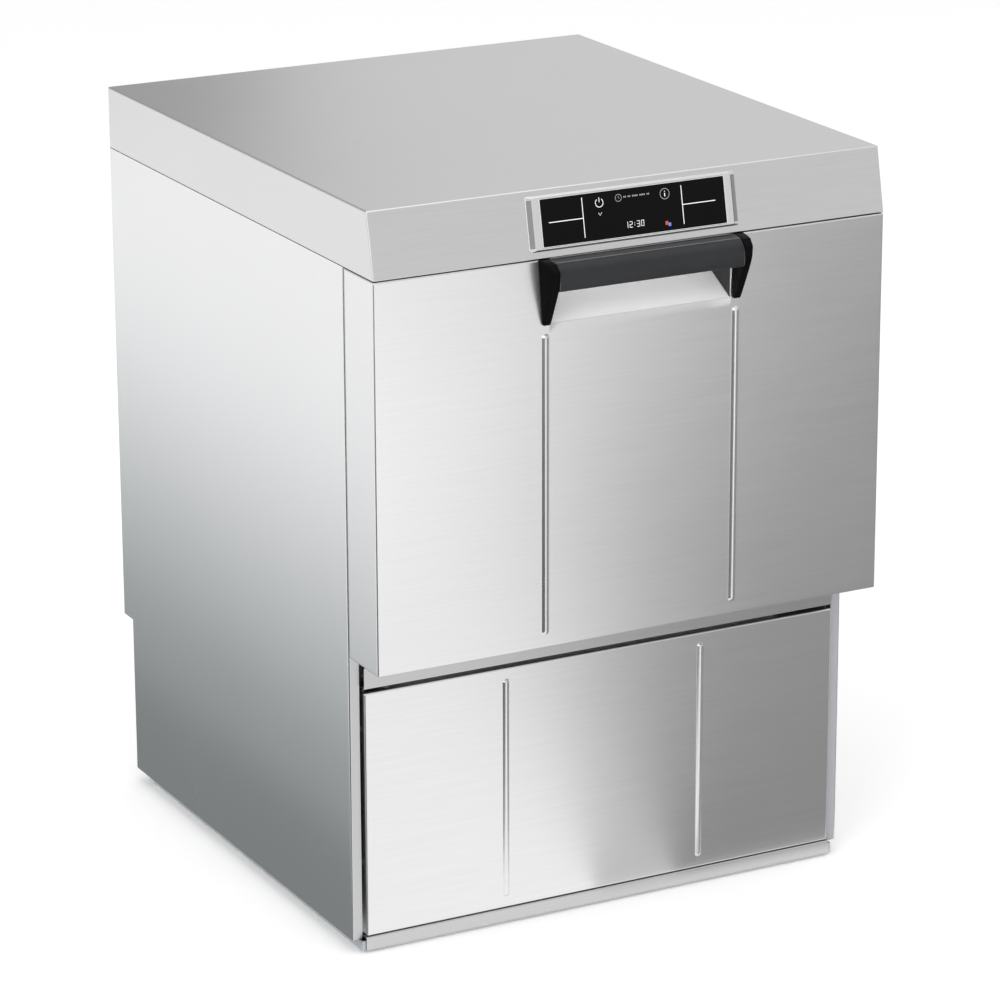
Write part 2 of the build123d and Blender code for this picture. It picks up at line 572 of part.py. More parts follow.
def make_boiler():
    """Rinse boiler on two saddles, with its flanged heating element, and the tank heater."""
    shell = rod((BOILER_X[0], BOILER_Y, BOILER_Z), (1, 0, 0), BOILER_R, BOILER_X[1] - BOILER_X[0])
    shell = fillet(shell.edges(), 22)
    wall = 1.5
    inside = BOILER_X[1] - BOILER_X[0] - 2 * wall
    hollow = rod((BOILER_X[0] + wall, BOILER_Y, BOILER_Z), (1, 0, 0), BOILER_R - wall, inside)
    hollow = fillet(hollow.edges(), 20)
    for x in (-120, 60):
        saddle = block((x, x + 20), (BOILER_Y - 48, BOILER_Y + 48), (4.4, BOILER_Z - 40))
        shell += saddle
    shell -= hollow
    shell -= rod((BOILER_X[1] - 10, BOILER_Y, BOILER_Z), (1, 0, 0), 30, 20)
    keep("boiler_shell", shell)
    flange = rod((BOILER_X[1] + 0.1, BOILER_Y, BOILER_Z), (1, 0, 0), 42, 5)
    for index in range(6):
        turn = index * math.pi / 3
        at = (BOILER_X[1] + 5, BOILER_Y + 36 * math.cos(turn), BOILER_Z + 36 * math.sin(turn))
        flange += Plane(origin=at, z_dir=(1, 0, 0)) * extrude(RegularPolygon(4, 6), 4)
    for offset in (-14, 14):
        flange += rod((BOILER_X[1], BOILER_Y + offset, BOILER_Z), (1, 0, 0), 5, 16)
    loop = [
        (BOILER_X[1] + 2, BOILER_Y - 14, BOILER_Z),
        (BOILER_X[0] + 60, BOILER_Y - 14, BOILER_Z),
        (BOILER_X[0] + 60, BOILER_Y + 14, BOILER_Z),
        (BOILER_X[1] + 2, BOILER_Y + 14, BOILER_Z),
    ]
    keep("boiler_heater", flange + pipe(loop, 12, 4))
    first, second = HEATER_ENDS
    route = [
        (252, first, HEATER_Z),
        (80, first, HEATER_Z),
        (80, CASE + 400, HEATER_Z),
        (200, CASE + 400, HEATER_Z),
        (200, second, HEATER_Z),
        (252, second, HEATER_Z),
    ]
    heater = pipe(route, 18, 4.2)
    heater += block((250, 255), (first - 16, second + 16), (HEATER_Z - 18, HEATER_Z + 18))
    keep("tank_heater", heater)


def make_drain():
    """Drain pump with its two hoses and the spigot through the back sheet."""
    body = rod((PIPE_X, CASE + 240, 46), (0, 1, 0), 32, 26)
    body += rod((PIPE_X, CASE + 266, 46), (0, 1, 0), 25, 60)
    body += block((PIPE_X - 24, PIPE_X + 24), (CASE + 250, CASE + 310), (4.4, 20))
    body = body - rod((PIPE_X, CASE + 239, 46), (0, 1, 0), 13, 10)
    keep("drain_pump", body)
    hose_in = pipe(
        [(PIPE_X, PIPE_Y, TANK_FLOOR - SHEET - 0.1), (PIPE_X, PIPE_Y, 46), (PIPE_X, CASE + 239.8, 46)],
        40, 16, 13,
    )
    over = [
        (PIPE_X, CASE + 253, 78.2),
        (PIPE_X, CASE + 253, 130),
        (PIPE_X, CASE + 420, 130),
        (PIPE_X, CASE + 420, OUTLET_Z),
        (PIPE_X, LOWER_REAR + 19.5, OUTLET_Z),
    ]
    hose_out = pipe(over, 26, 13, 11)
    spigot = rod((PIPE_X, LOWER_REAR - 14, OUTLET_Z), (0, 1, 0), DRAIN_R - 0.5, 15)
    spigot += rod((PIPE_X, LOWER_REAR + 0.5, OUTLET_Z), (0, 1, 0), DRAIN_R, DRAIN_LENGTH)
    spigot -= rod((PIPE_X, LOWER_REAR - 20, OUTLET_Z), (0, 1, 0), 12, 60)
    keep("drain_hoses", group([hose_in, hose_out + spigot]))


def make_inlets():
    """Water inlet valve whose threaded end passes the back sheet, and the cable gland."""
    end = rod((INLET_X, LOWER_REAR - 16, INLET_Z), (0, 1, 0), INLET_R + 0.4, 16.5)
    end += rod((INLET_X, LOWER_REAR + 0.5, INLET_Z), (0, 1, 0), INLET_R, INLET_LENGTH)
    body_y = (LOWER_REAR - 62, LOWER_REAR - 12)
    valve = end + block((INLET_X - 17, INLET_X + 17), body_y, (INLET_Z - 15, INLET_Z + 15))
    valve += rod((INLET_X, LOWER_REAR - 40, INLET_Z + 14), (0, 0, 1), 14, 26)
    valve += rod((INLET_X - 38, LOWER_REAR - 48, INLET_Z), (1, 0, 0), 6, 24)
    valve -= rod((INLET_X, LOWER_REAR - 30, INLET_Z), (0, 1, 0), 8.5, 60)
    keep("inlet_valve", valve)
    seat = Plane(origin=(INLET_X, LOWER_REAR + 0.1, GLAND_Z), z_dir=(0, 1, 0))
    gland = seat * extrude(RegularPolygon(15, 6), 6)
    gland += fillet(rod((INLET_X, LOWER_REAR + 5, GLAND_Z), (0, 1, 0), 13, 14).edges().sort_by(Axis.Y)[-1], 4)
    gland += rod((INLET_X, LOWER_REAR - 12, GLAND_Z), (0, 1, 0), 10, 14)
    back = Plane(origin=(INLET_X, LOWER_REAR - SHEET - 0.1, GLAND_Z), z_dir=(0, -1, 0))
    gland += back * extrude(RegularPolygon(15, 6), 5)
    gland -= rod((INLET_X, LOWER_REAR - 20, GLAND_Z), (0, 1, 0), 6, 60)
    keep("cable_gland", gland)


def make_services():
    """Dosing pumps on their bracket and the electrical box, behind the lower front panel."""
    pumps = []
    for x in (-150, -50):
        case = block((x - 30, x + 30), (CASE + 40, CASE + 66), (110, 170))
        case = fillet(case.edges().filter_by(Axis.Y), 6)
        case += rod((x, CASE + 24, 142), (0, 1, 0), 24, 17)
        case += rod((x, CASE + 66, 140), (0, 1, 0), 18, 34)
        for offset in (-9, 9):
            case += rod((x + offset, CASE + 32, 98), (0, 0, 1), 3, 24)
        case += block((x - 26, x + 26), (CASE + 62, CASE + 66), (4.4, 112))
        pumps.append(case)
    keep("dosing_pumps", group(pumps))
    box = block((60, 236), (CASE + 22, CASE + 82), (30, 200))
    box = fillet(box.edges().filter_by(Axis.Y), 5)
    box -= block((62, 234), (CASE + 24, CASE + 80), (32, 198))
    for x in (80, 200):
        box += block((x, x + 16), (CASE + 60, CASE + 64), (4.4, 31))
    keep("electrical_box", box)


# ---------------------------------------------------------------- door
def make_door_skin():
    """Outer door sheet folded back on all four sides, with the handle opening and two beads."""
    skin = open_box((-HALF_W, HALF_W), (FRONT, DOOR_BACK - SHEET - 0.1), (DOOR_BOTTOM, DOOR_TOP))
    opening = (HANDLE_X - POCKET_HALF, HANDLE_X + POCKET_HALF)
    skin -= block(opening, (FRONT - 5, FRONT + SHEET + 0.05), (FOLD_Z, DOOR_TOP - SHEET))
    for side in (-1, 1):
        slot = sorted((side * 276.8, side * 287.2))
        skin -= block(slot, (PIVOT_Y - 14, CASE + 5), (DOOR_BOTTOM - 5, DOOR_BOTTOM + 5))
        skin += bead(HANDLE_X + side * BEAD_X, FRONT, (347.5, 671.5), 8, 2.6)
    return skin


def make_door_inner():
    """Inner door sheet: flat where it meets the seal, pressed out in the middle, slotted for the hinges."""
    sheet = block((-HALF_W + 0.3, HALF_W - 0.3), (DOOR_BACK - SHEET, DOOR_BACK), (DOOR_BOTTOM, DOOR_TOP))
    for side in (-1, 1):
        slot = sorted((side * 275, side * 287.2))
        sheet -= block(slot, (DOOR_BACK - 5, DOOR_BACK + 5), (DOOR_BOTTOM - 5, HINGE_NOTCH_TOP))
    inward = Plane(origin=(0, DOOR_BACK - SHEET, PLATEAU_MID), x_dir=(1, 0, 0), z_dir=(0, 1, 0))
    outer = extrude(inward * RectangleRounded(496, 350, 24), 15 + SHEET, taper=20)
    inner = extrude(inward * RectangleRounded(496 - 2 * SHEET, 350 - 2 * SHEET, 23), 15, taper=20)
    return sheet + outer - inner


def make_handle():
    """Handle: finger pocket behind, grip bar between two flared end caps."""
    x = (HANDLE_X - POCKET_HALF, HANDLE_X + POCKET_HALF)
    front = FRONT + SHEET
    top = DOOR_TOP - SHEET - 0.1
    air = [(front - 1, FOLD_Z - 0.2), (POCKET_BACK, LEDGE_Z), (POCKET_BACK, top + 1), (front - 1, top + 1)]
    shell = [
        (front, FOLD_Z - SHEET),
        (POCKET_BACK + SHEET, LEDGE_Z - SHEET),
        (POCKET_BACK + SHEET, top),
        (front, top),
    ]
    pocket = prism(shell, (x[0] - SHEET, x[1] + SHEET)) - prism(air, x)
    keep("handle_pocket", pocket)
    half = CAP_INNER - 0.05
    grip = Plane(origin=(HANDLE_X - half, FRONT, 0), x_dir=(0, -1, 0), z_dir=(-1, 0, 0))
    outline = Curve() + [
        Line((0.3, BAR_TOP), (14, BAR_TOP - 1.5)),
        ThreePointArc((14, BAR_TOP - 1.5), (24.5, 737), (24.5, 724)),
        ThreePointArc((24.5, 724), (21, 719.8), (17.5, 723)),
        ThreePointArc((17.5, 723), (15, 735), (6, 743.5)),
        Line((6, 743.5), (0.3, 743.5)),
        Line((0.3, 743.5), (0.3, BAR_TOP)),
    ]
    section = make_face(grip.location * outline)
    keep("handle_bar", extrude(section, amount=2 * half, dir=(1, 0, 0)))
    side_face = [
        (FRONT, BAR_TOP + 0.3),
        (FRONT - 14, BAR_TOP - 1),
        (FRONT - 23.5, 743),
        (FRONT - HANDLE_REACH, 735),
        (FRONT - HANDLE_REACH + 0.5, 726),
        (FRONT - 6, 683),
        (FRONT - 3, 681),
        (FRONT, 681),
    ]
    cap = prism(side_face, (CAP_INNER, CAP_INNER + 13))
    flare = Plane(origin=(CAP_INNER + 12, FRONT, 740), z_dir=(1, -0.132, -0.087))
    cap = split(cap, bisect_by=flare, keep=Keep.BOTTOM)
    keep("handle_cap_right", Pos(HANDLE_X, 0, 0) * cap)
    keep("handle_cap_left", Pos(HANDLE_X, 0, 0) * flipped(cap))


def make_hinges():
    """Hinge brackets and pins on the casing, arms and bushes in the door, counterbalance springs."""
    plate = block((283, 286), (PIVOT_Y, CASE + 27), (PIVOT_Z - 8, PIVOT_Z + 8))
    plate += rod((283, PIVOT_Y, PIVOT_Z), (1, 0, 0), 8, 3)
    plate += block((283, 286), (CASE + 14.5, CASE + 27), (262, PIVOT_Z))
    plate += rod((274.5, PIVOT_Y, PIVOT_Z), (1, 0, 0), PIN, 12.5)
    keep("hinge_brackets", pair(plate))
    arm = block((277.5, 280.5), (PIVOT_Y - 12, PIVOT_Y + 12), (PIVOT_Z, 560))
    arm += rod((277.5, PIVOT_Y, PIVOT_Z), (1, 0, 0), 8.8, 3)
    tail_y = PIVOT_Y + TAIL[0]
    tail_z = PIVOT_Z + TAIL[1]
    reach = math.hypot(*TAIL)
    across = (TAIL[1] / reach * 7, TAIL[0] / reach * 7)
    tail = [
        (PIVOT_Y - across[0], PIVOT_Z + across[1]),
        (PIVOT_Y + across[0], PIVOT_Z - across[1]),
        (tail_y + across[0], tail_z - across[1]),
        (tail_y - across[0], tail_z + across[1]),
    ]
    arm += prism(tail, (277.5, 280.5))
    arm += rod((277.5, tail_y, tail_z), (1, 0, 0), 7, 3)
    arm += rod((280, tail_y, tail_z), (1, 0, 0), 2.5, 6.5)
    arm += block((256, 280.5), (DOOR_BACK - SHEET - 3.1, DOOR_BACK - SHEET - 0.1), (420, 560))
    arm += block((277.5, 280.5), (PIVOT_Y, DOOR_BACK - SHEET - 0.1), (420, 560))
    arm -= rod((276, PIVOT_Y, PIVOT_Z), (1, 0, 0), BUSH, 8)
    keep("hinge_arms", pair(arm))
    bush = rod((277, PIVOT_Y, PIVOT_Z), (1, 0, 0), BUSH, 4)
    bush -= rod((276, PIVOT_Y, PIVOT_Z), (1, 0, 0), PIN + 0.05, 8)
    keep("hinge_bushes", pair(bush))
    top = tail_z - 12
    coil = Helix(pitch=8, height=top - SPRING_BOTTOM - 16, radius=5.8, center=(0, 0, 0))
    wire = sweep(Plane(origin=coil @ 0, z_dir=coil % 0) * Circle(1.1), path=coil, is_frenet=True)
    wire = Pos(283.5, tail_y, SPRING_BOTTOM + 8) * wire
    keep("door_springs", pair(wire))


def make_seal_and_switch():
    """Door seal on the chamber mouth, insulation in the door, and the magnetic door switch."""
    y = (DOOR_BACK + 0.3, CHAMBER_FRONT - 0.05)
    seal = block((-274, 274), y, (SILL_Z + 4, CHAMBER_TOP + 9))
    seal -= block((-266, 266), (y[0] - 1, y[1] + 1), (SILL_Z, CHAMBER_TOP + 1))
    front_edges = [edge for edge in seal.edges() if edge.center().Y < y[0] + 0.1]
    seal = fillet(front_edges, 1.5)
    keep("door_gasket", seal)
    foam = block((-250, 250), (FRONT + 3, DOOR_BACK - 6), (346, FOLD_Z - 6))
    keep("door_insulation", foam)
    switch_y = (CHAMBER_FRONT + 2, CHAMBER_FRONT + 16)
    keep("door_switch", block((200, 232), switch_y, (CHAMBER_TOP + 1.5, CHAMBER_TOP + 11)))
    magnet_y = (DOOR_BACK - 12, DOOR_BACK - SHEET - 0.1)
    keep("door_magnet", block((206, 226), magnet_y, (DOOR_TOP - 14, DOOR_TOP - 2)))


def build():
    """Makes every piece and writes one STEP file for each node."""
    make_side_panels()
    keep("rear_panel", make_rear_panel())
    keep("top_cover", make_cover())
    make_display()
    keep("base_tray", make_base())
    for name, (x, y) in FEET.items():
        keep(name, make_foot(x, y))
    make_lower_front()
    keep("frame_posts", make_frame_posts())
    make_chamber()
    keep("wash_tank", make_tank())
    keep("tank_filters", make_filters())
    keep("pump_strainer", make_strainer())
    keep("rack_rails", make_rails())
    make_arms()
    keep("overflow_pipe", make_overflow_pipe())
    make_pump()
    make_pipework()
    make_boiler()
    make_drain()
    make_inlets()
    make_services()
    keep("door_outer_panel", make_door_skin())
    keep("door_inner_panel", make_door_inner())
    make_handle()
    make_hinges()
    make_seal_and_switch()
    os.makedirs("parts", exist_ok=True)
    for name, shape in NODES.items():
        export_step(shape, f"parts/{name}.step")
    print(len(NODES), "nodes")


build()
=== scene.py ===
# %% [markdown]
# # A commercial dishwasher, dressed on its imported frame
# The frame is the engineer's model: every sheet, arm and pump at its true place and size, grouped in
# the bodies that move. This lesson leaves the frame where it is. It gives every piece a finish, and
# it replaces the sheets and fittings that catch the eye with finer surfaces. Lengths are in metres.

# %% Load the frame
import json
import math

import bmesh
import bpy
import numpy as np
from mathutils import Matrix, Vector


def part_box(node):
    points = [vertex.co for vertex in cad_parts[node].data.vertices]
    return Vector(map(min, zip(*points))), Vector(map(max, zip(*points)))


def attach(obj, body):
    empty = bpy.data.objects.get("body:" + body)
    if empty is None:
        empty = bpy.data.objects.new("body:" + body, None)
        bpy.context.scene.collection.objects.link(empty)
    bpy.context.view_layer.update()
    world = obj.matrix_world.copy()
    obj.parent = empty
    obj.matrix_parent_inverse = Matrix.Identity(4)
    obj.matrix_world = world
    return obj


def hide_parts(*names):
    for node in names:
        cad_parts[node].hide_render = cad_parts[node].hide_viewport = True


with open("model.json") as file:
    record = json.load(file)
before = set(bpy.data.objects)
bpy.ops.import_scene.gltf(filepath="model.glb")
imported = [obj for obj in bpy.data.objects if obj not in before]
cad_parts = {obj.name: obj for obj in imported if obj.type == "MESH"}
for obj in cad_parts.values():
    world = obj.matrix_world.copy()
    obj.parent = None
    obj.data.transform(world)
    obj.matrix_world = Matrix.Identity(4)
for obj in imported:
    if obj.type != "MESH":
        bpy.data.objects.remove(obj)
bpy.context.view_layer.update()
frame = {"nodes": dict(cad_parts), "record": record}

# %% [markdown]
# A few driving dimensions come straight from the frame's own boxes: the door, the cover, the handle
# and the lower panel. Many pieces below are placed from these corners, so a new frame moves them.

# %% Places read from the frame
low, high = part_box("door_outer_panel")
DOOR = {"x": (low.x, high.x), "z": (low.z, high.z)}
COVER_LOW, COVER_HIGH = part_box("top_cover")
POCKET_LOW, POCKET_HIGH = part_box("handle_pocket")
BAR_LOW, BAR_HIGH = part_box("handle_bar")
CAP_LOW, CAP_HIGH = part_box("handle_cap_right")
PANEL_LOW, PANEL_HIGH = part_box("lower_front_panel")
FRONT = CAP_HIGH.y                        # the caps stand on the door's face, flush with the cover's foot
DOOR_SKIN_BACK = high.y
HANDLE_X = (POCKET_LOW.x + POCKET_HIGH.x) / 2
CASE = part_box("side_panel_left")[0].y     # front edges of the side panels
SHEET = 0.0012
BEND = 0.0018
print("door", DOOR, "front", round(FRONT, 4))

# %% [markdown]
# ## Shader maths
# Node trees are hard to read as a list of links. This small class wraps one socket, and an expression
# such as `grain * 0.2 + 0.3` adds its Math nodes for itself. Colours have their own two helpers,
# because a Math node would turn a colour grey.


# %% A socket that does arithmetic
class Wire:
    """One output socket of a node tree. Adding, taking and multiplying make Math nodes."""

    def __init__(self, tree, socket):
        self.tree = tree
        self.socket = socket

    def make(self, kind, settings=None, inputs=None, out=0):
        """Adds any node: its settings are set first, then values or links go to its inputs."""
        node = self.tree.nodes.new(kind)
        for key, value in (settings or {}).items():
            setattr(node, key, value)
        for key, value in (inputs or {}).items():
            if isinstance(value, Wire):
                self.tree.links.new(value.socket, node.inputs[key])
            else:
                node.inputs[key].default_value = value
        return Wire(self.tree, node.outputs[out])

    def math(self, operation, first, second):
        return self.make("ShaderNodeMath", {"operation": operation}, {0: first, 1: second})

    def __add__(self, other):
        return self.math("ADD", self, other)

    def __mul__(self, other):
        return self.math("MULTIPLY", self, other)

    def __sub__(self, other):
        return self.math("SUBTRACT", self, other)

    def __rsub__(self, other):
        return self.math("SUBTRACT", other, self)

    def clamp(self):
        return self.make("ShaderNodeClamp", {}, {0: self})

    def step(self, start, end):
        """0 below start, 1 above end, smooth between."""
        settings = {"interpolation_type": "SMOOTHSTEP"}
        return self.make("ShaderNodeMapRange", settings, {"Value": self, "From Min": start, "From Max": end})

    def mix(self, first, second):
        """Colour mix: first where this is 0, second where it is 1."""
        inputs = {0: self, 6: first, 7: second}
        return self.make("ShaderNodeMix", {"data_type": "RGBA"}, inputs, out=2)


# %% [markdown]
# ## A finish starts the same way each time
# `start_finish` makes a material with its shader and hands back three things: the object coordinates
# as a wire, the shader, and a function that joins results to it. Numbers that are the same all over
# are set on the shader's own sockets.


# %% Start a material
def start_finish(name, **constants):
    """New material; returns it, its Object coordinates and its main shader node."""
    material = bpy.data.materials.new(name)
    material.use_nodes = True
    tree = material.node_tree
    shader = tree.nodes["Principled BSDF"]
    for key, value in constants.items():
        shader.inputs[key.replace("_", " ")].default_value = value
    place = tree.nodes.new("ShaderNodeTexCoord")
    return material, Wire(tree, place.outputs["Object"]), shader


def join(shader, wire, name):
    wire.tree.links.new(wire.socket, shader.inputs[name])


def bump(wire, height, distance, strength=1.0):
    """Small relief from a height between 0 and 1; distance is the real height in metres."""
    return wire.make("ShaderNodeBump", {}, {"Height": height, "Distance": distance, "Strength": strength})


def stretched(place, scale):
    """Coordinates scaled by a different amount on each axis."""
    return place.make("ShaderNodeMapping", {}, {"Vector": place, "Scale": scale})


def noise(place, scale, detail=3.0, rough=0.55):
    inputs = {"Vector": place, "Scale": scale, "Detail": detail, "Roughness": rough}
    return place.make("ShaderNodeTexNoise", {}, inputs)


# %% [markdown]
# ## Brushed stainless steel
# Sheet steel for kitchens is ground along its length: thousands of fine scratches, a millimetre
# wide at most and decimetres long. They scatter light across the grain and mirror it along the grain.
# A noise squeezed on one axis gives such streaks. A second, broad noise stands for the faint cloudy
# patches where hands and cloths have passed, and an edge mask brightens the ground folds: part wear,
# part painted highlight.


# %% Brushed steel
def edge_wear_and_glint(place, radius=0.002):
    """1 on convex folds and edges, 0 on flats: the bevelled normal leaves the true one there."""
    bevel = place.make("ShaderNodeBevel", {"samples": 4}, {"Radius": radius})
    truth = place.make("ShaderNodeNewGeometry", {}, {}, out=1)
    dot = place.make("ShaderNodeVectorMath", {"operation": "DOT_PRODUCT"}, {0: bevel, 1: truth}, out=1)
    return (1 - dot).step(0.02, 0.3)


GRAIN_ACROSS = 620.0                      # streaks per metre across the grain, and along it
GRAIN_ALONG = 14.0


def steel(name, tone, rough, grain_axis, depth):
    """Ground steel whose grain runs along one axis: 0 for X, 1 for Y, 2 for Z."""
    material, place, shader = start_finish(name, Metallic=1.0)
    scale = [GRAIN_ACROSS] * 3
    scale[grain_axis] = GRAIN_ALONG
    fine = noise(stretched(place, scale), 1.0, detail=2.0)
    coarse = noise(stretched(place, [value / 4 for value in scale]), 1.0, detail=2.0)
    cloud = noise(place, 2.6, detail=2.0)
    streak = (fine * 0.75 + coarse * 0.25).step(0.3, 0.7)
    dark = (tone * (1 - 0.16 * depth),) * 3 + (1,)
    light = (min(tone * (1 + 0.14 * depth), 0.98),) * 3 + (1,)
    colour = streak.mix(dark, light)
    # folds and edges turn paler: part wear, part painted highlight
    wear_glint_mask = edge_wear_and_glint(place)
    wear_and_glint = (wear_glint_mask * 0.5).mix(colour, (0.86, 0.87, 0.88, 1))
    join(shader, wear_and_glint, "Base Color")
    join(shader, (streak * (0.16 * depth) + cloud * 0.07 + (rough - 0.08)).clamp(), "Roughness")
    join(shader, bump(place, streak, 0.00002, 0.5 * depth), "Normal")
    return material


FINISH = {
    "brushed_steel": steel("brushed_steel", 0.77, 0.33, 0, depth=0.12),
    "satin_steel": steel("satin_steel", 0.76, 0.30, 2, depth=0.05),
    "cover_steel": steel("cover_steel", 0.68, 0.33, 0, depth=0.14),
    "rolled_steel": steel("rolled_steel", 0.57, 0.42, 0, depth=0.12),
    # a darker steel, used as painted shade on the display's side flanks and as a painted highlight on the
    # bar's edge
    "painted_shade_glint_steel": steel("painted_shade_glint_steel", 0.34, 0.40, 2, depth=0.10),
    "chamber_steel": steel("chamber_steel", 0.70, 0.24, 0, depth=0.25),
    "spring_steel": steel("spring_steel", 0.6, 0.25, 2, depth=0.2),
}
print("steel finishes", len(FINISH))

# %% [markdown]
# ## Zinc, paint, brass and copper
# Galvanised sheet shows spangle: zinc crystals a few millimetres across, each a slightly different
# grey. A Voronoi pattern gives each cell one value. Machined brass and drawn copper tube are metals
# with a colour, dulled in patches.


# %% Spangled zinc and coloured metals
def zinc(name):
    material, place, shader = start_finish(name, Metallic=0.9)
    cell = place.make("ShaderNodeTexVoronoi", {}, {"Vector": place, "Scale": 170.0}, out=1)
    grey = place.make("ShaderNodeSeparateColor", {}, {0: cell})
    cloud = noise(place, 12.0)
    tone = (grey * 0.55 + cloud * 0.45).mix((0.40, 0.42, 0.44, 1), (0.60, 0.62, 0.64, 1))
    join(shader, tone, "Base Color")
    join(shader, grey * 0.2 + 0.34, "Roughness")
    join(shader, bump(place, grey, 0.00003, 0.3), "Normal")
    return material


def coloured_metal(name, colour, rough):
    material, place, shader = start_finish(name, Metallic=1.0)
    patch = noise(place, 45.0, detail=4.0)
    dull = tuple(part * 0.72 for part in colour) + (1,)
    join(shader, patch.step(0.35, 0.7).mix(dull, colour + (1,)), "Base Color")
    join(shader, patch * 0.25 + (rough - 0.1), "Roughness")
    turned = noise(stretched(place, (900, 900, 900)), 1.0, detail=1.0)
    join(shader, bump(place, turned, 0.00002, 0.3), "Normal")
    return material


FINISH["galvanised"] = zinc("galvanised")
FINISH["brass"] = coloured_metal("brass", (0.72, 0.56, 0.26), 0.3)
FINISH["copper"] = coloured_metal("copper", (0.66, 0.38, 0.24), 0.32)

# %% [markdown]
# ## Plastics, rubber and paint
# Moulded plastic has a fine spark-eroded texture and is a little paler where it is handled and on its
# edges, there part wear and part painted highlight. One function covers them all: a base colour, how
# rough it is, and how deep and fine the texture is.


# %% Moulded and painted finishes
def moulded(name, colour, rough, texture=900.0, depth=0.00004, wear_and_glint=0.15, specular=0.5):
    material, place, shader = start_finish(name, Specular_IOR_Level=specular)
    speck = noise(place, texture, detail=2.0)
    cloud = noise(place, 14.0)
    pale = tuple(part + (1 - part) * wear_and_glint for part in colour) + (1,)
    edge = edge_wear_and_glint(place, 0.0015)
    base = (cloud * 0.06 + edge * 0.7).clamp().mix(colour + (1,), pale)
    join(shader, base, "Base Color")
    join(shader, speck * 0.14 + cloud * 0.08 + (rough - 0.1), "Roughness")
    join(shader, bump(place, speck, depth, 0.35), "Normal")
    return material


FINISH["black_plastic"] = moulded("black_plastic", (0.003, 0.003, 0.0035), 0.36, wear_and_glint=0.01, specular=0.04)
# the bar's edges turn paler than the others': part wear, part a painted highlight line along them
FINISH["bar_grey"] = moulded("bar_grey", (0.016, 0.017, 0.019), 0.33, wear_and_glint=0.30, specular=0.26)
FINISH["white_plastic"] = moulded("white_plastic", (0.72, 0.73, 0.74), 0.42)
FINISH["grey_plastic"] = moulded("grey_plastic", (0.20, 0.21, 0.23), 0.45)
FINISH["rubber"] = moulded("rubber", (0.02, 0.02, 0.022), 0.62, texture=500.0)
FINISH["foam"] = moulded("foam", (0.75, 0.73, 0.66), 0.85, texture=260.0, depth=0.0004)
FINISH["motor_paint"] = moulded("motor_paint", (0.05, 0.06, 0.075), 0.38)
FINISH["display_glass"] = moulded(
    "display_glass", (0.003, 0.003, 0.0035), 0.16, depth=0.000002, wear_and_glint=0.01, specular=0.08
)
# pale dull steel that glows a little (BOUNCED below): painted light that keeps the pocket bright in the
# bar's shadow
FINISH["pale_steel_painted_glow"] = moulded("pale_steel_painted_glow", (0.93, 0.93, 0.93), 0.46, texture=500.0, wear_and_glint=0.1)
BOUNCED = 0.22                            # stands for the light bounced about inside the pocket
pocket_shader = FINISH["pale_steel_painted_glow"].node_tree.nodes["Principled BSDF"]
pocket_shader.inputs["Emission Color"].default_value = (1, 1, 1, 1)
pocket_shader.inputs["Emission Strength"].default_value = BOUNCED
# a darker flat grey for the right front return: painted shade
FINISH["matt_steel_painted_shade"] = moulded("matt_steel_painted_shade", (0.41, 0.42, 0.44), 0.5, texture=500.0, wear_and_glint=0.1)
print("finishes", sorted(FINISH))

# %% [markdown]
# ## Every frame node gets its finish
# The record says which slot each node takes. Nodes that are replaced further on are hidden then. A few
# take another look: folded parts keep a duller mill finish, and what shows through the gaps is dark, as
# painted shade.

# %% Dress the frame
OWN_FINISH = {
    "front_plinth": "rolled_steel",
    "front_crossmember": "rolled_steel",
    # the dark paint on posts, brackets and screws is painted shade in the gaps between the panels
    "frame_posts": "motor_paint",
    "hinge_brackets": "motor_paint",
    "panel_screws": "motor_paint",
}
for part in frame["record"]["subparts"]:
    mesh = frame["nodes"][part["node"]].data
    mesh.materials.clear()
    mesh.materials.append(FINISH[OWN_FINISH.get(part["node"], part["material_slot"])])

# %% [markdown]
# ## Surfaces from numpy
# A piece is a grid of points: rows by columns, each a position. `piece` turns such grids into one
# mesh, merges what meets, points the faces outwards and sets the body, slot and finish.


# %% Grids to a mesh
def grid_faces(rows, columns, start=0):
    """Quads of a grid of points stored row by row: corner, right, right and up, up."""
    index = np.arange(rows * columns).reshape(rows, columns) + start
    corners = (index[:-1, :-1], index[:-1, 1:], index[1:, 1:], index[1:, :-1])
    return np.stack([part.ravel() for part in corners], axis=1)


def piece(name, grids, slot, body, keep=None, thickness=0.0, smooth=35.0, outward=None):
    """One mesh from several grids of shape (rows, columns, 3); keep drops quads by their centres."""
    points = np.concatenate([grid.reshape(-1, 3) for grid in grids])
    starts = np.cumsum([0] + [grid.shape[0] * grid.shape[1] for grid in grids])
    faces = np.concatenate([grid_faces(*grid.shape[:2], start) for grid, start in zip(grids, starts)])
    if keep is not None:
        faces = faces[keep(points[faces].mean(axis=1))]
    mesh = bpy.data.meshes.new(name)
    mesh.from_pydata(points.tolist(), [], faces.tolist())
    tidy_mesh(mesh, outward)
    obj = bpy.data.objects.new(name, mesh)
    bpy.context.scene.collection.objects.link(obj)
    mesh.materials.append(FINISH[slot])
    if thickness:
        wall = obj.modifiers.new("wall", "SOLIDIFY")
        wall.thickness = thickness
        wall.offset = -1.0
        wall.use_even_offset = True
    mesh.shade_smooth()
    mesh.set_sharp_from_angle(angle=math.radians(smooth))
    weigh = obj.modifiers.new("flat_stays_flat", "WEIGHTED_NORMAL")
    weigh.weight = 80
    weigh.keep_sharp = True
    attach(obj, body)
    print(name, len(mesh.polygons), "faces")
    return obj


# %% [markdown]
# Blender's own tools merge the doubled points where two grids meet, and drop faces that have closed
# to a line. For an open sheet, the side that is outside is not always clear to Blender, so a
# direction can be named that the biggest faces must point to.


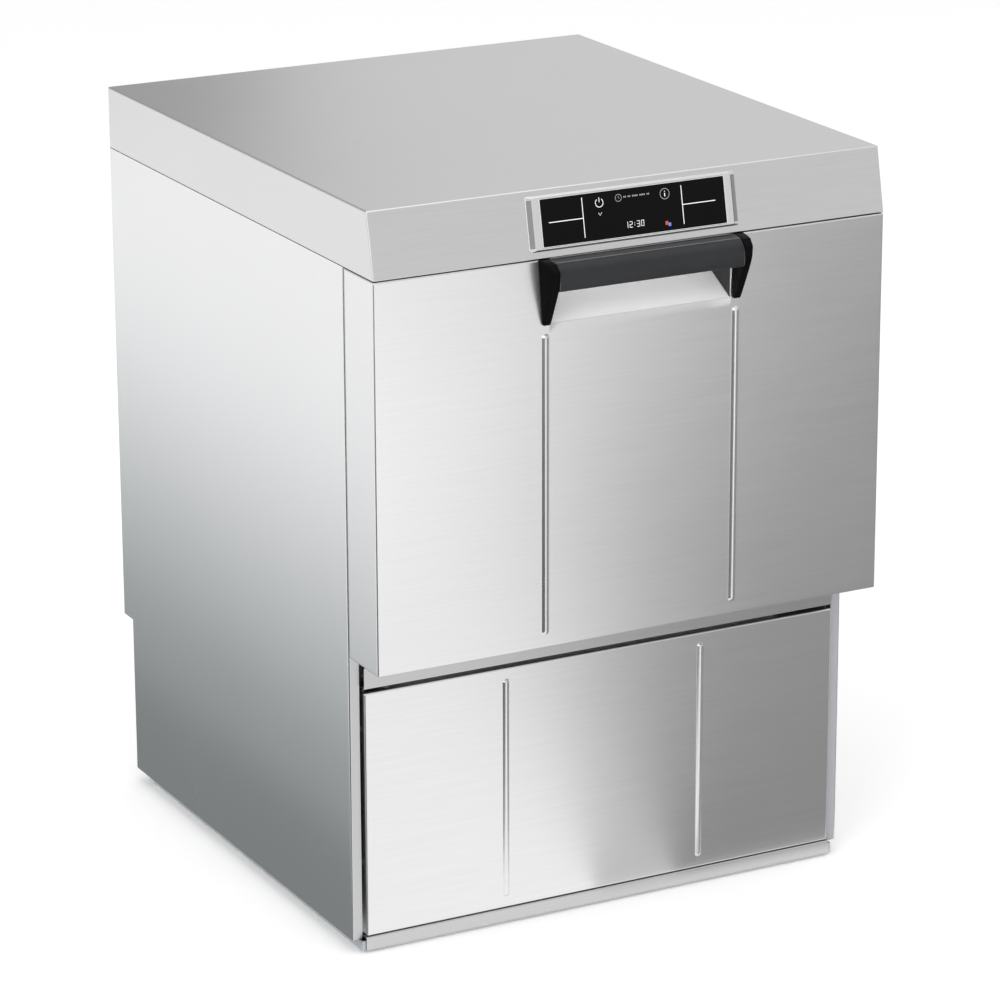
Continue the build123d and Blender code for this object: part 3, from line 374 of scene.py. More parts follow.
# %% Merge and turn a mesh outwards
def tidy_mesh(mesh, outward):
    """Merges points closer than 1 micrometre and points the faces outwards."""
    shape = bmesh.new()
    shape.from_mesh(mesh)
    bmesh.ops.remove_doubles(shape, verts=shape.verts, dist=1e-6)
    bmesh.ops.dissolve_degenerate(shape, dist=1e-7, edges=shape.edges)
    bmesh.ops.recalc_face_normals(shape, faces=shape.faces)
    if outward is not None:
        total = sum((face.normal * face.calc_area()).dot(outward) for face in shape.faces)
        if total < 0:
            bmesh.ops.reverse_faces(shape, faces=shape.faces)
    shape.to_mesh(mesh)
    shape.free()


# %% [markdown]
# ## A folded tray
# Doors, covers and panels are all the same shape: a flat sheet folded back along its four edges. The
# flat front is a grid with relief. The fold is a quarter circle and a straight flange, carried round
# the front's edge, with a quarter turn at each corner. `lines` spaces the grid finely only where a
# bead needs it.


# %% The tray's lines and rim
def lines(start, end, busy=(), coarse=0.04, fine=0.0006):
    """Places from start to end: coarse steps, and fine steps through each busy (from, to) stretch.

    One line close inside each end keeps the flat sheet flat right up to its fold.
    """
    places = [np.linspace(start, end, max(2, int((end - start) / coarse) + 1)), [start + fine, end - fine]]
    for first, last in busy:
        places.append(np.linspace(first, last, int((last - first) / fine) + 1))
    merged = np.unique(np.round(np.concatenate(places), 6))
    inside = merged[(merged > start + 1e-5) & (merged < end - 1e-5)]
    return np.concatenate([[start], inside, [end]])


def tray(across, up, relief, radius, flange, corner_steps=6, flange_lines=()):
    """Front grid and rim of a folded tray in a flat frame: (across, up, depth), depth growing inwards.

    The front is depth = -relief(across, up). The rim goes round the front's border; at an angle a
    of the fold it stands radius * sin(a) outside the border and radius * (1 - cos(a)) deep, and the
    flange then runs straight back.
    """
    x, z = np.meshgrid(across, up)
    front = np.stack([x, z, -relief(x, z)], axis=-1)
    turn = np.linspace(0, np.pi / 2, corner_steps + 1)
    left, right, bottom, top = across[0], across[-1], up[0], up[-1]
    sides = (
        (across, np.full_like(across, bottom), -np.pi / 2),
        (np.full_like(up, right), up, 0.0),
        (across[::-1], np.full_like(across, top), np.pi / 2),
        (np.full_like(up, left), up[::-1], np.pi),
    )
    path, facing = [], []
    for px, pz, angle in sides:
        path.append(np.stack([px, pz], axis=-1))
        facing.append(np.full(len(px), angle))
        path.append(np.repeat([[px[-1], pz[-1]]], corner_steps, axis=0))
        facing.append(angle + turn[1:])
    path = np.concatenate(path + [path[0][:1]])
    facing = np.concatenate(facing + [facing[0][:1] + 2 * np.pi])
    fold = np.linspace(0, np.pi / 2, 7)
    straight = np.array([radius + 0.0006, *flange_lines, flange - 0.0006, flange])
    outside = np.append(radius * np.sin(fold), np.full(len(straight), radius))[:, None]
    depth = np.append(radius * (1 - np.cos(fold)), straight)[:, None]
    rim = np.stack(
        [
            path[:, 0] + outside * np.cos(facing),
            path[:, 1] + outside * np.sin(facing),
            np.broadcast_to(depth, (len(depth), len(path))),
        ],
        axis=-1,
    )
    return front, rim


def facing_front(grid, y):
    """(across, up, depth) becomes (x, y, z) for a sheet that faces -Y with its front at y."""
    return np.stack([grid[..., 0], y + grid[..., 2], grid[..., 1]], axis=-1)


# %% [markdown]
# ## Pressed beads
# A bead is a long narrow ridge with round ends, pressed from behind to stiffen the sheet and to
# divide the front in three. Its height is a round crown over half its width, and distance is measured
# to the bead's middle line, so that its ends are round as well. A soft foot joins it to the sheet.


# %% The height of a bead
def bead_height(x, z, middle, ends, width, height):
    """Crown over the distance from a segment: height * (1 - (distance / half width)^2), softened."""
    half = width / 2
    nearest = np.clip(z, ends[0] + half, ends[1] - half)
    distance = np.hypot(x - middle, z - nearest) / half
    return height * np.clip(1 - distance**2, 0, 1) ** 0.85


def bead_lines(middles, half):
    return [(middle - half * 1.15, middle + half * 1.15) for middle in middles]


def bead_end_lines(beads):
    """The stretches of height where the beads' round ends need fine lines."""
    foot, head = beads["ends"]
    return [(place - 0.0005, place + 0.0045) for place in (foot, head - 0.004)]


def beads_relief(beads, height):
    """Function giving the height of a sheet with these beads at any place."""
    return lambda x, z: sum(
        bead_height(x, z, middle, beads["ends"], beads["width"], height) for middle in beads["middles"]
    )


# %% [markdown]
# ## The door's outer sheet
# A tray with two beads and an opening at the top for the fingers. The grid has lines at the opening's
# edges, so that whole quads are left out there, and Solidify gives the sheet its 1.2 mm. The hinge
# arms swing through a slot at each lower corner, at the back of the fold.

# %% Door skin
DOOR_BEADS = {"middles": (HANDLE_X - 0.1125, HANDLE_X + 0.1125), "ends": (0.3475, 0.6715), "width": 0.008}
OPENING = {"x": (POCKET_LOW.x + SHEET, POCKET_HIGH.x - SHEET), "z": POCKET_LOW.z + 2 * SHEET}
HINGE_SLOT = {"x": (0.2768, 0.2872), "front": CASE - 0.036}


def with_places(array, places):
    """Adds exact places to a list of grid lines."""
    return np.unique(np.append(array, places))


columns = lines(DOOR["x"][0] + BEND, DOOR["x"][1] - BEND, bead_lines(DOOR_BEADS["middles"], 0.004))
slot_sides = [side * x for side in (-1, 1) for x in HINGE_SLOT["x"]]
columns = with_places(columns, [*OPENING["x"], *slot_sides])
rows = lines(DOOR["z"][0] + BEND, DOOR["z"][1] - BEND, bead_end_lines(DOOR_BEADS))
rows = with_places(rows, [OPENING["z"]])
slot_line = HINGE_SLOT["front"] - FRONT
front, rim = tray(
    columns, rows, beads_relief(DOOR_BEADS, 0.0026), BEND, DOOR_SKIN_BACK - FRONT, flange_lines=(slot_line,)
)


def outside_openings(centres):
    """False for quads in the finger opening or in the two hinge slots of the bottom flange."""
    x, y, z = centres.T
    inside = np.abs(x - HANDLE_X) < (OPENING["x"][1] - OPENING["x"][0]) / 2
    finger = inside & (z > OPENING["z"]) & (y < FRONT + BEND * 0.9)
    reach = np.abs(x)
    hinge = (reach > HINGE_SLOT["x"][0]) & (reach < HINGE_SLOT["x"][1]) & (y > HINGE_SLOT["front"])
    return ~(finger | (hinge & (z < DOOR["z"][0] + BEND)))


door_skin = piece(
    "door_skin", [facing_front(front, FRONT), facing_front(rim, FRONT)],
    "brushed_steel", "door", keep=outside_openings, thickness=SHEET, outward=(0, -1, 0),
)
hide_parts("door_outer_panel")

# %% [markdown]
# ## The side sheets
# Seen from above, a side sheet is a long C: a flat side, a fold at each end and a short return. It is
# that outline carried up, in two heights, because the back steps forward near the floor. The front
# returns are a separate narrow sheet, since they keep the duller mill finish; the right one is darker
# still, as painted shade.


# %% Side sheets
def side_outline(rear, side):
    """Plan outline from the back return round both folds: (x, y) rows."""
    turn = np.linspace(0, np.pi / 2, 7)
    half = DOOR["x"][1]
    back_fold = np.stack([half - BEND + BEND * np.sin(turn), rear - BEND + BEND * np.cos(turn)], -1)
    front_fold = np.stack([half - BEND + BEND * np.cos(turn), CASE + BEND - BEND * np.sin(turn)], -1)
    flat = [(half, rear - BEND - 0.0006), (half, CASE + BEND + 0.0006)]
    return np.concatenate([[(RETURN_X, rear)], back_fold, flat, front_fold]) * np.array([side, 1.0])


def carried_up(outlines, heights):
    """One plan outline per height, as a grid."""
    grid = np.empty((len(heights), len(outlines[0]), 3))
    grid[..., :2] = outlines
    grid[..., 2] = np.asarray(heights)[:, None]
    return grid


UPPER_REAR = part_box("rear_panel")[1].y
LOWER_REAR = UPPER_REAR - 0.0245          # the back steps forward below STEP_Z
SIDE_LOW, SIDE_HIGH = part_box("side_panel_right")
STEP_Z = 0.198
RETURN_X = 0.288
below, above = lines(SIDE_LOW.z, STEP_Z), lines(STEP_Z, SIDE_HIGH.z)
heights = np.concatenate([below, above])
rears = np.repeat([LOWER_REAR, UPPER_REAR], [len(below), len(above)])
# the right return takes a darker finish as painted shade
returns = {"left": "rolled_steel", "right": "matt_steel_painted_shade"}
for side, label in ((-1, "left"), (1, "right")):
    body_sheet = piece(
        f"side_sheet_{label}", [carried_up([side_outline(rear, side) for rear in rears], heights)],
        "satin_steel", "chassis", outward=(side, 0, 0),
    )
    fold_x = side * (DOOR["x"][1] - BEND)
    edge = np.array([(fold_x, CASE), (side * RETURN_X, CASE), (side * RETURN_X, CASE + SHEET)])
    front_return = piece(
        f"side_return_{label}", [carried_up([edge] * len(heights), heights)], returns[label], "chassis",
        outward=(0, -1, 0),
    )
    for made in (body_sheet, front_return):
        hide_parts(f"side_panel_{label}")

# %% [markdown]
# ## The lower front panel
# The same tray again, with two beads that run almost its whole height.

# %% Lower panel
LOWER_BEADS = {"middles": (-0.119, 0.119), "ends": (0.032, 0.280), "width": 0.0075}
PANEL_DEPTH = 0.018                       # from the panel's face back to the end of its box
PANEL_DROP = 0.0006                       # the foot reaches this much lower, for a finer gap over the plinth
panel_front = PANEL_HIGH.y - PANEL_DEPTH
columns = lines(PANEL_LOW.x + BEND, PANEL_HIGH.x - BEND, bead_lines(LOWER_BEADS["middles"], 0.00375))
rows = lines(PANEL_LOW.z - PANEL_DROP + BEND, PANEL_HIGH.z - BEND, bead_end_lines(LOWER_BEADS))
front, rim = tray(columns, rows, beads_relief(LOWER_BEADS, 0.0024), BEND, 0.016)
lower_panel = piece(
    "lower_panel", [facing_front(front, panel_front), facing_front(rim, panel_front)],
    "brushed_steel", "chassis", thickness=SHEET, outward=(0, -1, 0),
)
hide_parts("lower_front_panel")

# %% [markdown]
# ## The top cover
# Seen from above the cover is a tray that opens downwards. Its front flange is the fascia, which
# leans back. The lean is put in afterwards by stretching the depth of the whole tray a little more
# the lower a point is, so the side flanges stay upright and all four folds stay closed.

# %% Top cover
SETBACK = 0.014
HEIGHT = COVER_HIGH.z
SKIRT = COVER_HIGH.z - COVER_LOW.z
fascia_top = FRONT + SETBACK
columns = lines(COVER_LOW.x + BEND, COVER_HIGH.x - BEND, coarse=0.05)
rows = lines(fascia_top + BEND, COVER_HIGH.y - BEND, coarse=0.05)
HEM = 0.0009                              # the skirt hangs this much lower, for a finer gap over the door
flat, rim = tray(columns, rows, lambda x, y: 0 * x, BEND, SKIRT + HEM)


def as_cover(grid):
    """Depth goes down, and a point's distance from the back grows with its depth."""
    x, y, depth = grid[..., 0], grid[..., 1], grid[..., 2]
    reach = (COVER_HIGH.y - fascia_top + SETBACK * depth / SKIRT) / (COVER_HIGH.y - fascia_top)
    return np.stack([x, COVER_HIGH.y - (COVER_HIGH.y - y) * reach, HEIGHT - depth], axis=-1)


cover = piece(
    "cover_shell", [as_cover(flat), as_cover(rim)], "cover_steel", "chassis",
    thickness=SHEET, outward=(0, 0, 1),
)
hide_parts("top_cover")

# %% [markdown]
# ## The display
# A pressed steel surround stands 3 mm proud of the fascia, with flanks that slope. A thin bright line
# runs round the black touch glass. On the glass, in pale print, are two pairs of thin lines and a few
# small signs. All of them are drawn on the fascia's own plane: u along it, v up its slope.

# %% The fascia's plane
LEAN = math.atan2(SETBACK, SKIRT)
FASCIA_MIDDLE = np.array([0.0, FRONT + SETBACK / 2, COVER_LOW.z + SKIRT / 2])
UP_SLOPE = np.array([0.0, math.sin(LEAN), math.cos(LEAN)])
OUT = np.array([0.0, -math.cos(LEAN), math.sin(LEAN)])


def on_fascia(u, v, proud):
    """Point at u along the fascia, v up its slope from its middle, proud of its face."""
    u, v, proud = np.broadcast_arrays(u, v, proud)
    along_x = np.array([1.0, 0, 0])
    return FASCIA_MIDDLE + u[..., None] * along_x + v[..., None] * UP_SLOPE + proud[..., None] * OUT


def rounded_ring(half_u, half_v, radius, steps=7):
    """Closed outline of a rounded rectangle as (u, v) rows, corner by corner."""
    turn = np.linspace(0, np.pi / 2, steps)
    corners = []
    for index, (su, sv) in enumerate(((1, 1), (-1, 1), (-1, -1), (1, -1))):
        angle = turn + index * np.pi / 2
        u = su * (half_u - radius) + radius * np.cos(angle)
        v = sv * (half_v - radius) + radius * np.sin(angle)
        corners.append(np.stack([u, v], -1))
    ring = np.concatenate(corners)
    return np.concatenate([ring, ring[:1]])


def ring_stack(sections):
    """Loft of rounded rectangles: each section is (half u, half v, radius, proud)."""
    rows = []
    for half_u, half_v, radius, proud in sections:
        ring = rounded_ring(half_u, half_v, max(radius, 1e-5))
        rows.append(on_fascia(ring[:, 0], ring[:, 1], np.full(len(ring), proud)))
    return np.stack(rows)


# %% [markdown]
# The surround is a loft of rounded rectangles, from its foot on the fascia up its flank, over a soft
# edge and down into the seat of the glass. The glass is a loft too, closed in the middle.

# %% Surround and glass
surround = piece(
    "display_surround",
    [
        ring_stack(
            [
                (0.1226, 0.0285, 0.0022, -0.0004),
                (0.1226, 0.0285, 0.0022, 0.0002),
                (0.1223, 0.0283, 0.0022, 0.0005),
                (0.1164, 0.0268, 0.0018, 0.0026),
                (0.1160, 0.0266, 0.0018, 0.0029),
                (0.1155, 0.0264, 0.0016, 0.0030),
                (0.1092, 0.0254, 0.0012, 0.0030),
                (0.1088, 0.0252, 0.0012, 0.0028),
                (0.1087, 0.0251, 0.0010, 0.0016),
            ]
        )
    ],
    "satin_steel", "chassis", thickness=0.0003, outward=tuple(OUT),
)
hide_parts("top_cover")


def flank_strip(side):
    """Darker steel strip on one sloping flank, painted shade: two columns, v along the flank's length."""
    v = np.linspace(-0.0245, 0.0245, 5)
    sections = ((0.1219, 0.0009), (0.1169, 0.0027))
    return np.stack([on_fascia(np.full(5, side * u), v, np.full(5, proud)) for u, proud in sections])


# darker strips over the display's side flanks: painted shade
flanks = piece(
    "surround_flanks", [flank_strip(-1), flank_strip(1)], "painted_shade_glint_steel", "chassis", outward=tuple(OUT)
)
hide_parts("top_cover")
edge_line = piece(
    "glass_edge",
    [
        ring_stack(
            [
                (0.1086, 0.0250, 0.0012, 0.0016),
                (0.1086, 0.0250, 0.0012, 0.0032),
                (0.1084, 0.0248, 0.0011, 0.0034),
                (0.1078, 0.0244, 0.0010, 0.0034),
                (0.1076, 0.0243, 0.0010, 0.0032),
                (0.1076, 0.0243, 0.0010, 0.0016),
                (0.1086, 0.0250, 0.0012, 0.0016),
            ]
        )
    ],
    "white_plastic", "chassis",
)
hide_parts("display_glass")
glass = piece(
    "touch_glass",
    [
        ring_stack(
            [
                (0.0, 0.0, 0.0, 0.0016),
                (0.1075, 0.02425, 0.001, 0.0016),
                (0.1075, 0.02425, 0.001, 0.0031),
                (0.1072, 0.02395, 0.001, 0.0034),
                (0.0, 0.0, 0.0, 0.0034),
            ]
        )
    ],
    "display_glass", "chassis",
)
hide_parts("display_glass")

# %% [markdown]
# Print on glass is thin, so each mark is a flat ribbon a few hundredths of a millimetre proud. A
# ribbon is a path with a width: two rows of points either side of its line. The marks are plain signs:
# a power ring, a clock, a ring with a stroke, a row of ticks and the time of day.


# %% Marks on the glass
def mark_finish(name, colour, strength):
    """Pale print that glows a little from behind the glass."""
    material, place, shader = start_finish(name, Roughness=0.4)
    dots = noise(place, 2400.0, detail=1.0)
    join(shader, dots.mix(tuple(0.85 * part for part in colour) + (1,), colour + (1,)), "Base Color")
    faint_light = tuple(0.8 * strength * part for part in colour) + (1,)
    full_light = tuple(strength * part for part in colour) + (1,)
    join(shader, dots.mix(faint_light, full_light), "Emission Color")
    shader.inputs["Emission Strength"].default_value = 1.0
    return material


FINISH["white_print"] = mark_finish("white_print", (0.9, 0.9, 0.9), 0.35)
FINISH["faint_print"] = mark_finish("faint_print", (0.30, 0.30, 0.33), 0.45)
FINISH["red_print"] = mark_finish("red_print", (0.55, 0.06, 0.05), 0.4)
FINISH["blue_print"] = mark_finish("blue_print", (0.10, 0.22, 0.65), 0.4)
PROUD = 0.00346


def ribbon(path, width):
    """Flat ribbon along (u, v) points: each point moved half the width to either side of its line."""
    path = np.asarray(path, float)
    along = np.gradient(path, axis=0)
    along /= np.linalg.norm(along, axis=1)[:, None]
    side = np.stack([-along[:, 1], along[:, 0]], -1) * width / 2
    rows = np.stack([path - side, path + side])
    return on_fascia(rows[..., 0], rows[..., 1], np.full(rows.shape[:2], PROUD))


def arc(centre, radius, start, end, steps=25):
    """Points of an arc between two angles in degrees."""
    angle = np.radians(np.linspace(start, end, steps))
    return np.stack([centre[0] + radius * np.cos(angle), centre[1] + radius * np.sin(angle)], -1)


def stroke(start, end):
    return np.linspace(start, end, 2)


MIDDLE_V = 0.0347                          # the plane's middle, measured up the slope from its foot


def from_foot(path):
    """Places given up the slope from the fascia's foot become places from its middle."""
    return np.asarray(path, float) - np.array([0, MIDDLE_V])


def lengthened(ends, extra):
    """Stroke between two ends, carried on past both by a little."""
    start, end = (np.asarray(point, float) for point in ends)
    on = (end - start) / np.linalg.norm(end - start) * extra
    return stroke(start - on, end + on)


# %% [markdown]
# Digits are seven short strokes each, switched on as on a clock display.

# %% Digits and the list of marks
SEGMENTS = {"0": "abcdef", "1": "bc", "2": "abged", "3": "abgcd", "4": "fgbc", "5": "afgcd"}


def digit(which, left, foot, wide=0.0028, tall=0.0058):
    """Strokes of one digit, each a segment of a two by one frame."""
    middle = foot + tall / 2
    ends = {
        "a": ((left, foot + tall), (left + wide, foot + tall)),
        "b": ((left + wide, middle), (left + wide, foot + tall)),
        "c": ((left + wide, foot), (left + wide, middle)),
        "d": ((left, foot), (left + wide, foot)),
        "e": ((left, foot), (left, middle)),
        "f": ((left, middle), (left, foot + tall)),
        "g": ((left, middle), (left + wide, middle)),
    }
    return [ribbon(from_foot(lengthened(ends[segment], 0.00028)), 0.00056) for segment in SEGMENTS[which]]


thin = [
    ribbon(from_foot(stroke((-0.0595, 0.0147), (-0.0595, 0.0556))), 0.0008),
    ribbon(from_foot(stroke((-0.0994, 0.0346), (-0.0600, 0.0346))), 0.0008),
    ribbon(from_foot(stroke((0.0567, 0.0150), (0.0567, 0.0550))), 0.0008),
    ribbon(from_foot(stroke((0.0568, 0.0351), (0.0958, 0.0351))), 0.0008),
    ribbon(from_foot(arc((-0.0397, 0.0481), 0.0044, 125, 415)), 0.0007),
    ribbon(from_foot(stroke((-0.0397, 0.0486), (-0.0397, 0.0536))), 0.0007),
    ribbon(from_foot([(-0.0418, 0.0380), (-0.0397, 0.0352), (-0.0376, 0.0380)]), 0.0005),
    ribbon(from_foot(stroke((0.0370, 0.0458), (0.0370, 0.0494))), 0.0009),
    ribbon(from_foot(stroke((0.0370, 0.0506), (0.0370, 0.0515))), 0.0009),
]
clock = [
    part
    for which, left in zip("1230", (-0.0118, -0.0066, 0.0020, 0.0070))
    for part in digit(which, left, 0.0190)
]
dots = [ribbon(from_foot(stroke((-0.0010, v), (-0.0010, v + 0.0007))), 0.0007) for v in (0.0205, 0.0228)]
marks = piece("display_print", thin + clock + dots, "white_print", "chassis", outward=tuple(OUT))
ticks = [
    ribbon(from_foot(stroke((left, 0.0508), (left + 0.0011, 0.0508))), 0.0016)
    for left in np.delete(np.linspace(-0.0112, 0.0178, 18), [2, 5, 10, 15])
]
rings = [
    ribbon(from_foot(arc((-0.0172, 0.0505), 0.0036, 0, 360)), 0.0005),
    ribbon(from_foot(stroke((-0.0172, 0.0505), (-0.0172, 0.0526))), 0.0004),
    ribbon(from_foot(stroke((-0.0172, 0.0505), (-0.0158, 0.0497))), 0.0004),
    ribbon(from_foot(arc((0.0370, 0.0486), 0.0054, 0, 360)), 0.0006),
]
faint = piece("display_ticks", ticks + rings, "faint_print", "chassis", outward=tuple(OUT))
red_square = ribbon(from_foot(stroke((0.0350, 0.0185), (0.0382, 0.0185))), 0.0040)
blue_square = ribbon(from_foot(stroke((0.0384, 0.0168), (0.0414, 0.0168))), 0.0036)
red = piece("display_sign_red", [red_square], "red_print", "chassis", outward=tuple(OUT))
blue = piece("display_sign_blue", [blue_square], "blue_print", "chassis", outward=tuple(OUT))
for mark in (marks, faint, red, blue):
    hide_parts("display_glass")

# %% [markdown]
# ## The finger pocket
# Behind the bar the sheet is folded into a pocket: a ledge that slopes up and in, a back wall and two
# cheeks. It is a profile carried along X, closed by the cheeks, with a pale, dull bead-blasted finish
# that also glows a little: painted light that keeps it bright in its own shadow.

# %% Pocket
POCKET_WALL = 0.0012
LEDGE_RISE = 0.020                        # the ledge climbs this much from front to back
POCKET_BEND = 0.006                       # radius between ledge and back wall
ledge_front = (FRONT + SHEET + 0.0002, POCKET_LOW.z + 2 * POCKET_WALL)
ledge_back = (POCKET_HIGH.y - POCKET_WALL, POCKET_LOW.z + 2 * POCKET_WALL + LEDGE_RISE)
turn = np.linspace(-np.pi / 2 + 0.44, 0, 7)[:, None]
corner = np.array([ledge_back[0] - POCKET_BEND, ledge_back[1] + POCKET_BEND])
bend = corner + POCKET_BEND * np.concatenate([np.cos(turn), np.sin(turn)], axis=1)
profile = np.concatenate([[ledge_front], bend, [(ledge_back[0], POCKET_HIGH.z)]])
inner_left, inner_right = POCKET_LOW.x + POCKET_WALL, POCKET_HIGH.x - POCKET_WALL
along = lines(inner_left, inner_right, coarse=0.05)
trough = np.stack(
    [
        np.broadcast_to(along[None, :], (len(profile), len(along))),
        np.broadcast_to(profile[:, :1], (len(profile), len(along))),
        np.broadcast_to(profile[:, 1:], (len(profile), len(along))),
    ],
    axis=-1,
)


def cheek(x):
    """Side wall at x: rows run from the profile to the opening's upper front corner."""
    share = np.linspace(0, 1, 4)[:, None, None]
    corner_point = np.array([ledge_front[0], POCKET_HIGH.z])
    rows = profile[None] * (1 - share) + corner_point * share
    return np.concatenate([np.full((*rows.shape[:2], 1), x), rows], axis=-1)


# the pocket's finish glows a little: painted light standing in for bounced light
pocket = piece("finger_pocket", [trough], "pale_steel_painted_glow", "door", thickness=0.0006, outward=(0, -1, 0))
cheek_left = piece("pocket_cheek_left", [cheek(inner_left)], "bar_grey", "door", outward=(1, 0, 0))
cheek_right = piece("pocket_cheek_right", [cheek(inner_right)], "bar_grey", "door", outward=(-1, 0, 0))
for part in (pocket, cheek_left, cheek_right):
    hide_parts("handle_pocket")

# %% [markdown]
# ## The grip bar
# A coated extrusion: flat on top, round at the front, hollow behind for the fingers. Its section is a
# closed outline of a few points joined by a smooth closed curve, carried along X between the caps.
# A Catmull-Rom curve passes through each of its points with a matching slope on both sides.


# %% Smooth closed outlines
def smooth_outline(points, steps=6):
    """Catmull-Rom curve through closed points; a point given twice stays a corner.

    The curve swings a little past its points, so it is clipped to their own box.
    """
    points = np.asarray(points, float)
    before, after, later = np.roll(points, 1, 0), np.roll(points, -1, 0), np.roll(points, -2, 0)
    t = np.linspace(0, 1, steps, endpoint=False)[:, None, None]
    curve = 0.5 * (
        2 * points
        + (after - before) * t
        + (2 * before - 5 * points + 4 * after - later) * t**2
        + (3 * points - before - 3 * after + later) * t**3
    )
    curve = np.swapaxes(curve, 0, 1).reshape(-1, 2)
    return np.clip(curve, points.min(axis=0), points.max(axis=0))


def carried(outline, places, inset):
    """Outline of (reach, z) carried along X and drawn in at each place; both ends are closed by rings
    that shrink to the outline's middle."""
    middle = outline.mean(axis=0)
    closed = np.concatenate([outline, outline[:1]]) - middle
    share = 1 - np.asarray(inset) / np.abs(closed).max()
    fans = np.array([0.0, 0.35, 0.7, 0.92])
    scales = np.concatenate([fans * share[0], share, (fans * share[-1])[::-1]])
    x = np.concatenate([np.repeat(places[0], 4), places, np.repeat(places[-1], 4)])
    section = middle + closed[None] * scales[:, None, None]
    across = np.broadcast_to(x[:, None], section.shape[:2])
    return np.stack([across, FRONT - section[..., 0], section[..., 1]], axis=-1)


# %% [markdown]
# The bar's section goes from the door's face over the flat top, round the front and back underneath. A
# thin ribbon of paler steel on the crisp front edge of the top is a painted highlight.

# %% Bar
BAR_SECTION = smooth_outline(
    [
        (0.0004, 0.7498), (0.0004, 0.7498), (0.0070, 0.7493),
        (0.0134, 0.7487), (0.0134, 0.7487), (0.0138, 0.7484),
        (0.0138, 0.7484), (0.0190, 0.7447), (0.0230, 0.7390),
        (0.0246, 0.7310), (0.0242, 0.7235), (0.0225, 0.7203),
        (0.0195, 0.7203), (0.0172, 0.7240),
        (0.0150, 0.7340), (0.0100, 0.7410), (0.0050, 0.7436), (0.0004, 0.7437), (0.0004, 0.7437),
    ]
)
bar_places = np.linspace(BAR_LOW.x, BAR_HIGH.x, 9)
bar = piece("grip_bar", [carried(BAR_SECTION, bar_places, np.zeros(9))], "bar_grey", "door", smooth=18)
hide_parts("handle_bar")
edge_run = np.linspace(BAR_LOW.x + 0.001, BAR_HIGH.x - 0.001, 9)
edge_rows = [
    np.stack([edge_run, np.full(9, FRONT - reach), np.full(9, z)], -1)
    for reach, z in ((0.01335, 0.74885), (0.01395, 0.74838))
]
# a thin strip of paler steel along the bar's top edge: a painted highlight
painted_bar_highlight = piece("bar_edge", [np.stack(edge_rows)], "painted_shade_glint_steel", "door", outward=(0, -1, 1))
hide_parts("handle_bar")

# %% [markdown]
# ## The end caps
# Each cap is a moulded cheek, deep at the top and tapering to the door below, with soft edges and an
# outer face that leans out. It is the cheek's outline carried across its thickness, drawn in at both
# faces, and then the outer face is tilted.


# %% Caps
CAP_SECTION = smooth_outline(
    [
        (0.0002, 0.7502), (0.0002, 0.7502), (0.0090, 0.7498),
        (0.0180, 0.7484), (0.0187, 0.7481), (0.0252, 0.7421),
        (0.0256, 0.7414), (0.0254, 0.7310), (0.0215, 0.7190),
        (0.0130, 0.7000), (0.0062, 0.6850), (0.0038, 0.6815),
        (0.0002, 0.6811),
        (0.0002, 0.6811), (0.0002, 0.7000), (0.0002, 0.7300),
    ]
)


def cap(name, side, node):
    """Cap on the right (side 1) or left (side -1): the cheek's outline, carried from its inner face out."""
    inner = CAP_LOW.x - HANDLE_X
    thick = CAP_HIGH.x - CAP_LOW.x - 0.0006
    across = np.array([0, 0.0005, 0.0016, 0.5, 0.9, 0.97, 1.0])
    across[:3] /= thick
    inset = np.array([0.0016, 0.0005, 0, 0, 0, 0.0006, 0.0018])
    grid = carried(CAP_SECTION, across, inset)
    reach = FRONT - grid[..., 1]
    lean = 1.0 - 0.22 * np.clip(reach / 0.026, 0, 1)
    taper = 0.62 + 0.38 * np.clip((grid[..., 2] - 0.681) / 0.069, 0, 1)
    grid[..., 0] = HANDLE_X + side * (inner + grid[..., 0] * thick * lean * taper)
    made = piece(name, [grid], "black_plastic", "door", smooth=50)
    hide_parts(node)
    return made


cap_right = cap("grip_cap_right", 1, "handle_cap_right")
cap_left = cap("grip_cap_left", -1, "handle_cap_left")

# %% [markdown]
# ## Floor, light and camera
# The floor is plain and pale. Steel shows what is around it, so a studio stands dark and light cards
# where the sheets look. Here the cards are seen by glossy rays only, and cast no shadow. Four white
# walls far away are the other way round: the camera sees them, and the steel does not.


# %% Floor, cards and walls
def stage_sheet(name, corners, colour, strength=0.0, rough=0.9):
    """Flat sheet of the studio with the corners given."""
    mesh = bpy.data.meshes.new(name)
    mesh.from_pydata([tuple(corner) for corner in corners], [], [tuple(range(len(corners)))])
    obj = bpy.data.objects.new(name, mesh)
    bpy.context.scene.collection.objects.link(obj)
    material = bpy.data.materials.new(name)
    material.use_nodes = True
    shader = material.node_tree.nodes["Principled BSDF"]
    shader.inputs["Base Color"].default_value = (*colour, 1)
    shader.inputs["Roughness"].default_value = rough
    shader.inputs["Specular IOR Level"].default_value = 0.1
    shader.inputs["Emission Color"].default_value = (*colour, 1)
    shader.inputs["Emission Strength"].default_value = strength
    mesh.materials.append(material)
    return obj


FLOOR = [(-25, -25, 0), (25, -25, 0), (25, 25, 0), (-25, 25, 0)]
stage_sheet("floor", FLOOR, (0.96, 0.96, 0.96), strength=0.20)


def card(name, corners, grey, tint=(1.0, 1.0, 1.0)):
    """Card that only glossy rays see, with a plain brightness."""
    obj = stage_sheet(name, corners, tint, strength=grey)
    obj.active_material.node_tree.nodes["Principled BSDF"].inputs["Base Color"].default_value = (0, 0, 0, 1)
    obj.visible_camera = False
    obj.visible_diffuse = False
    obj.visible_shadow = False
    obj.visible_transmission = False
    return obj


def on_floor(corners, height):
    return [(x, y, height) for x, y in corners]


def shifted(line, x):
    return [(place + x, y) for place, y in line]


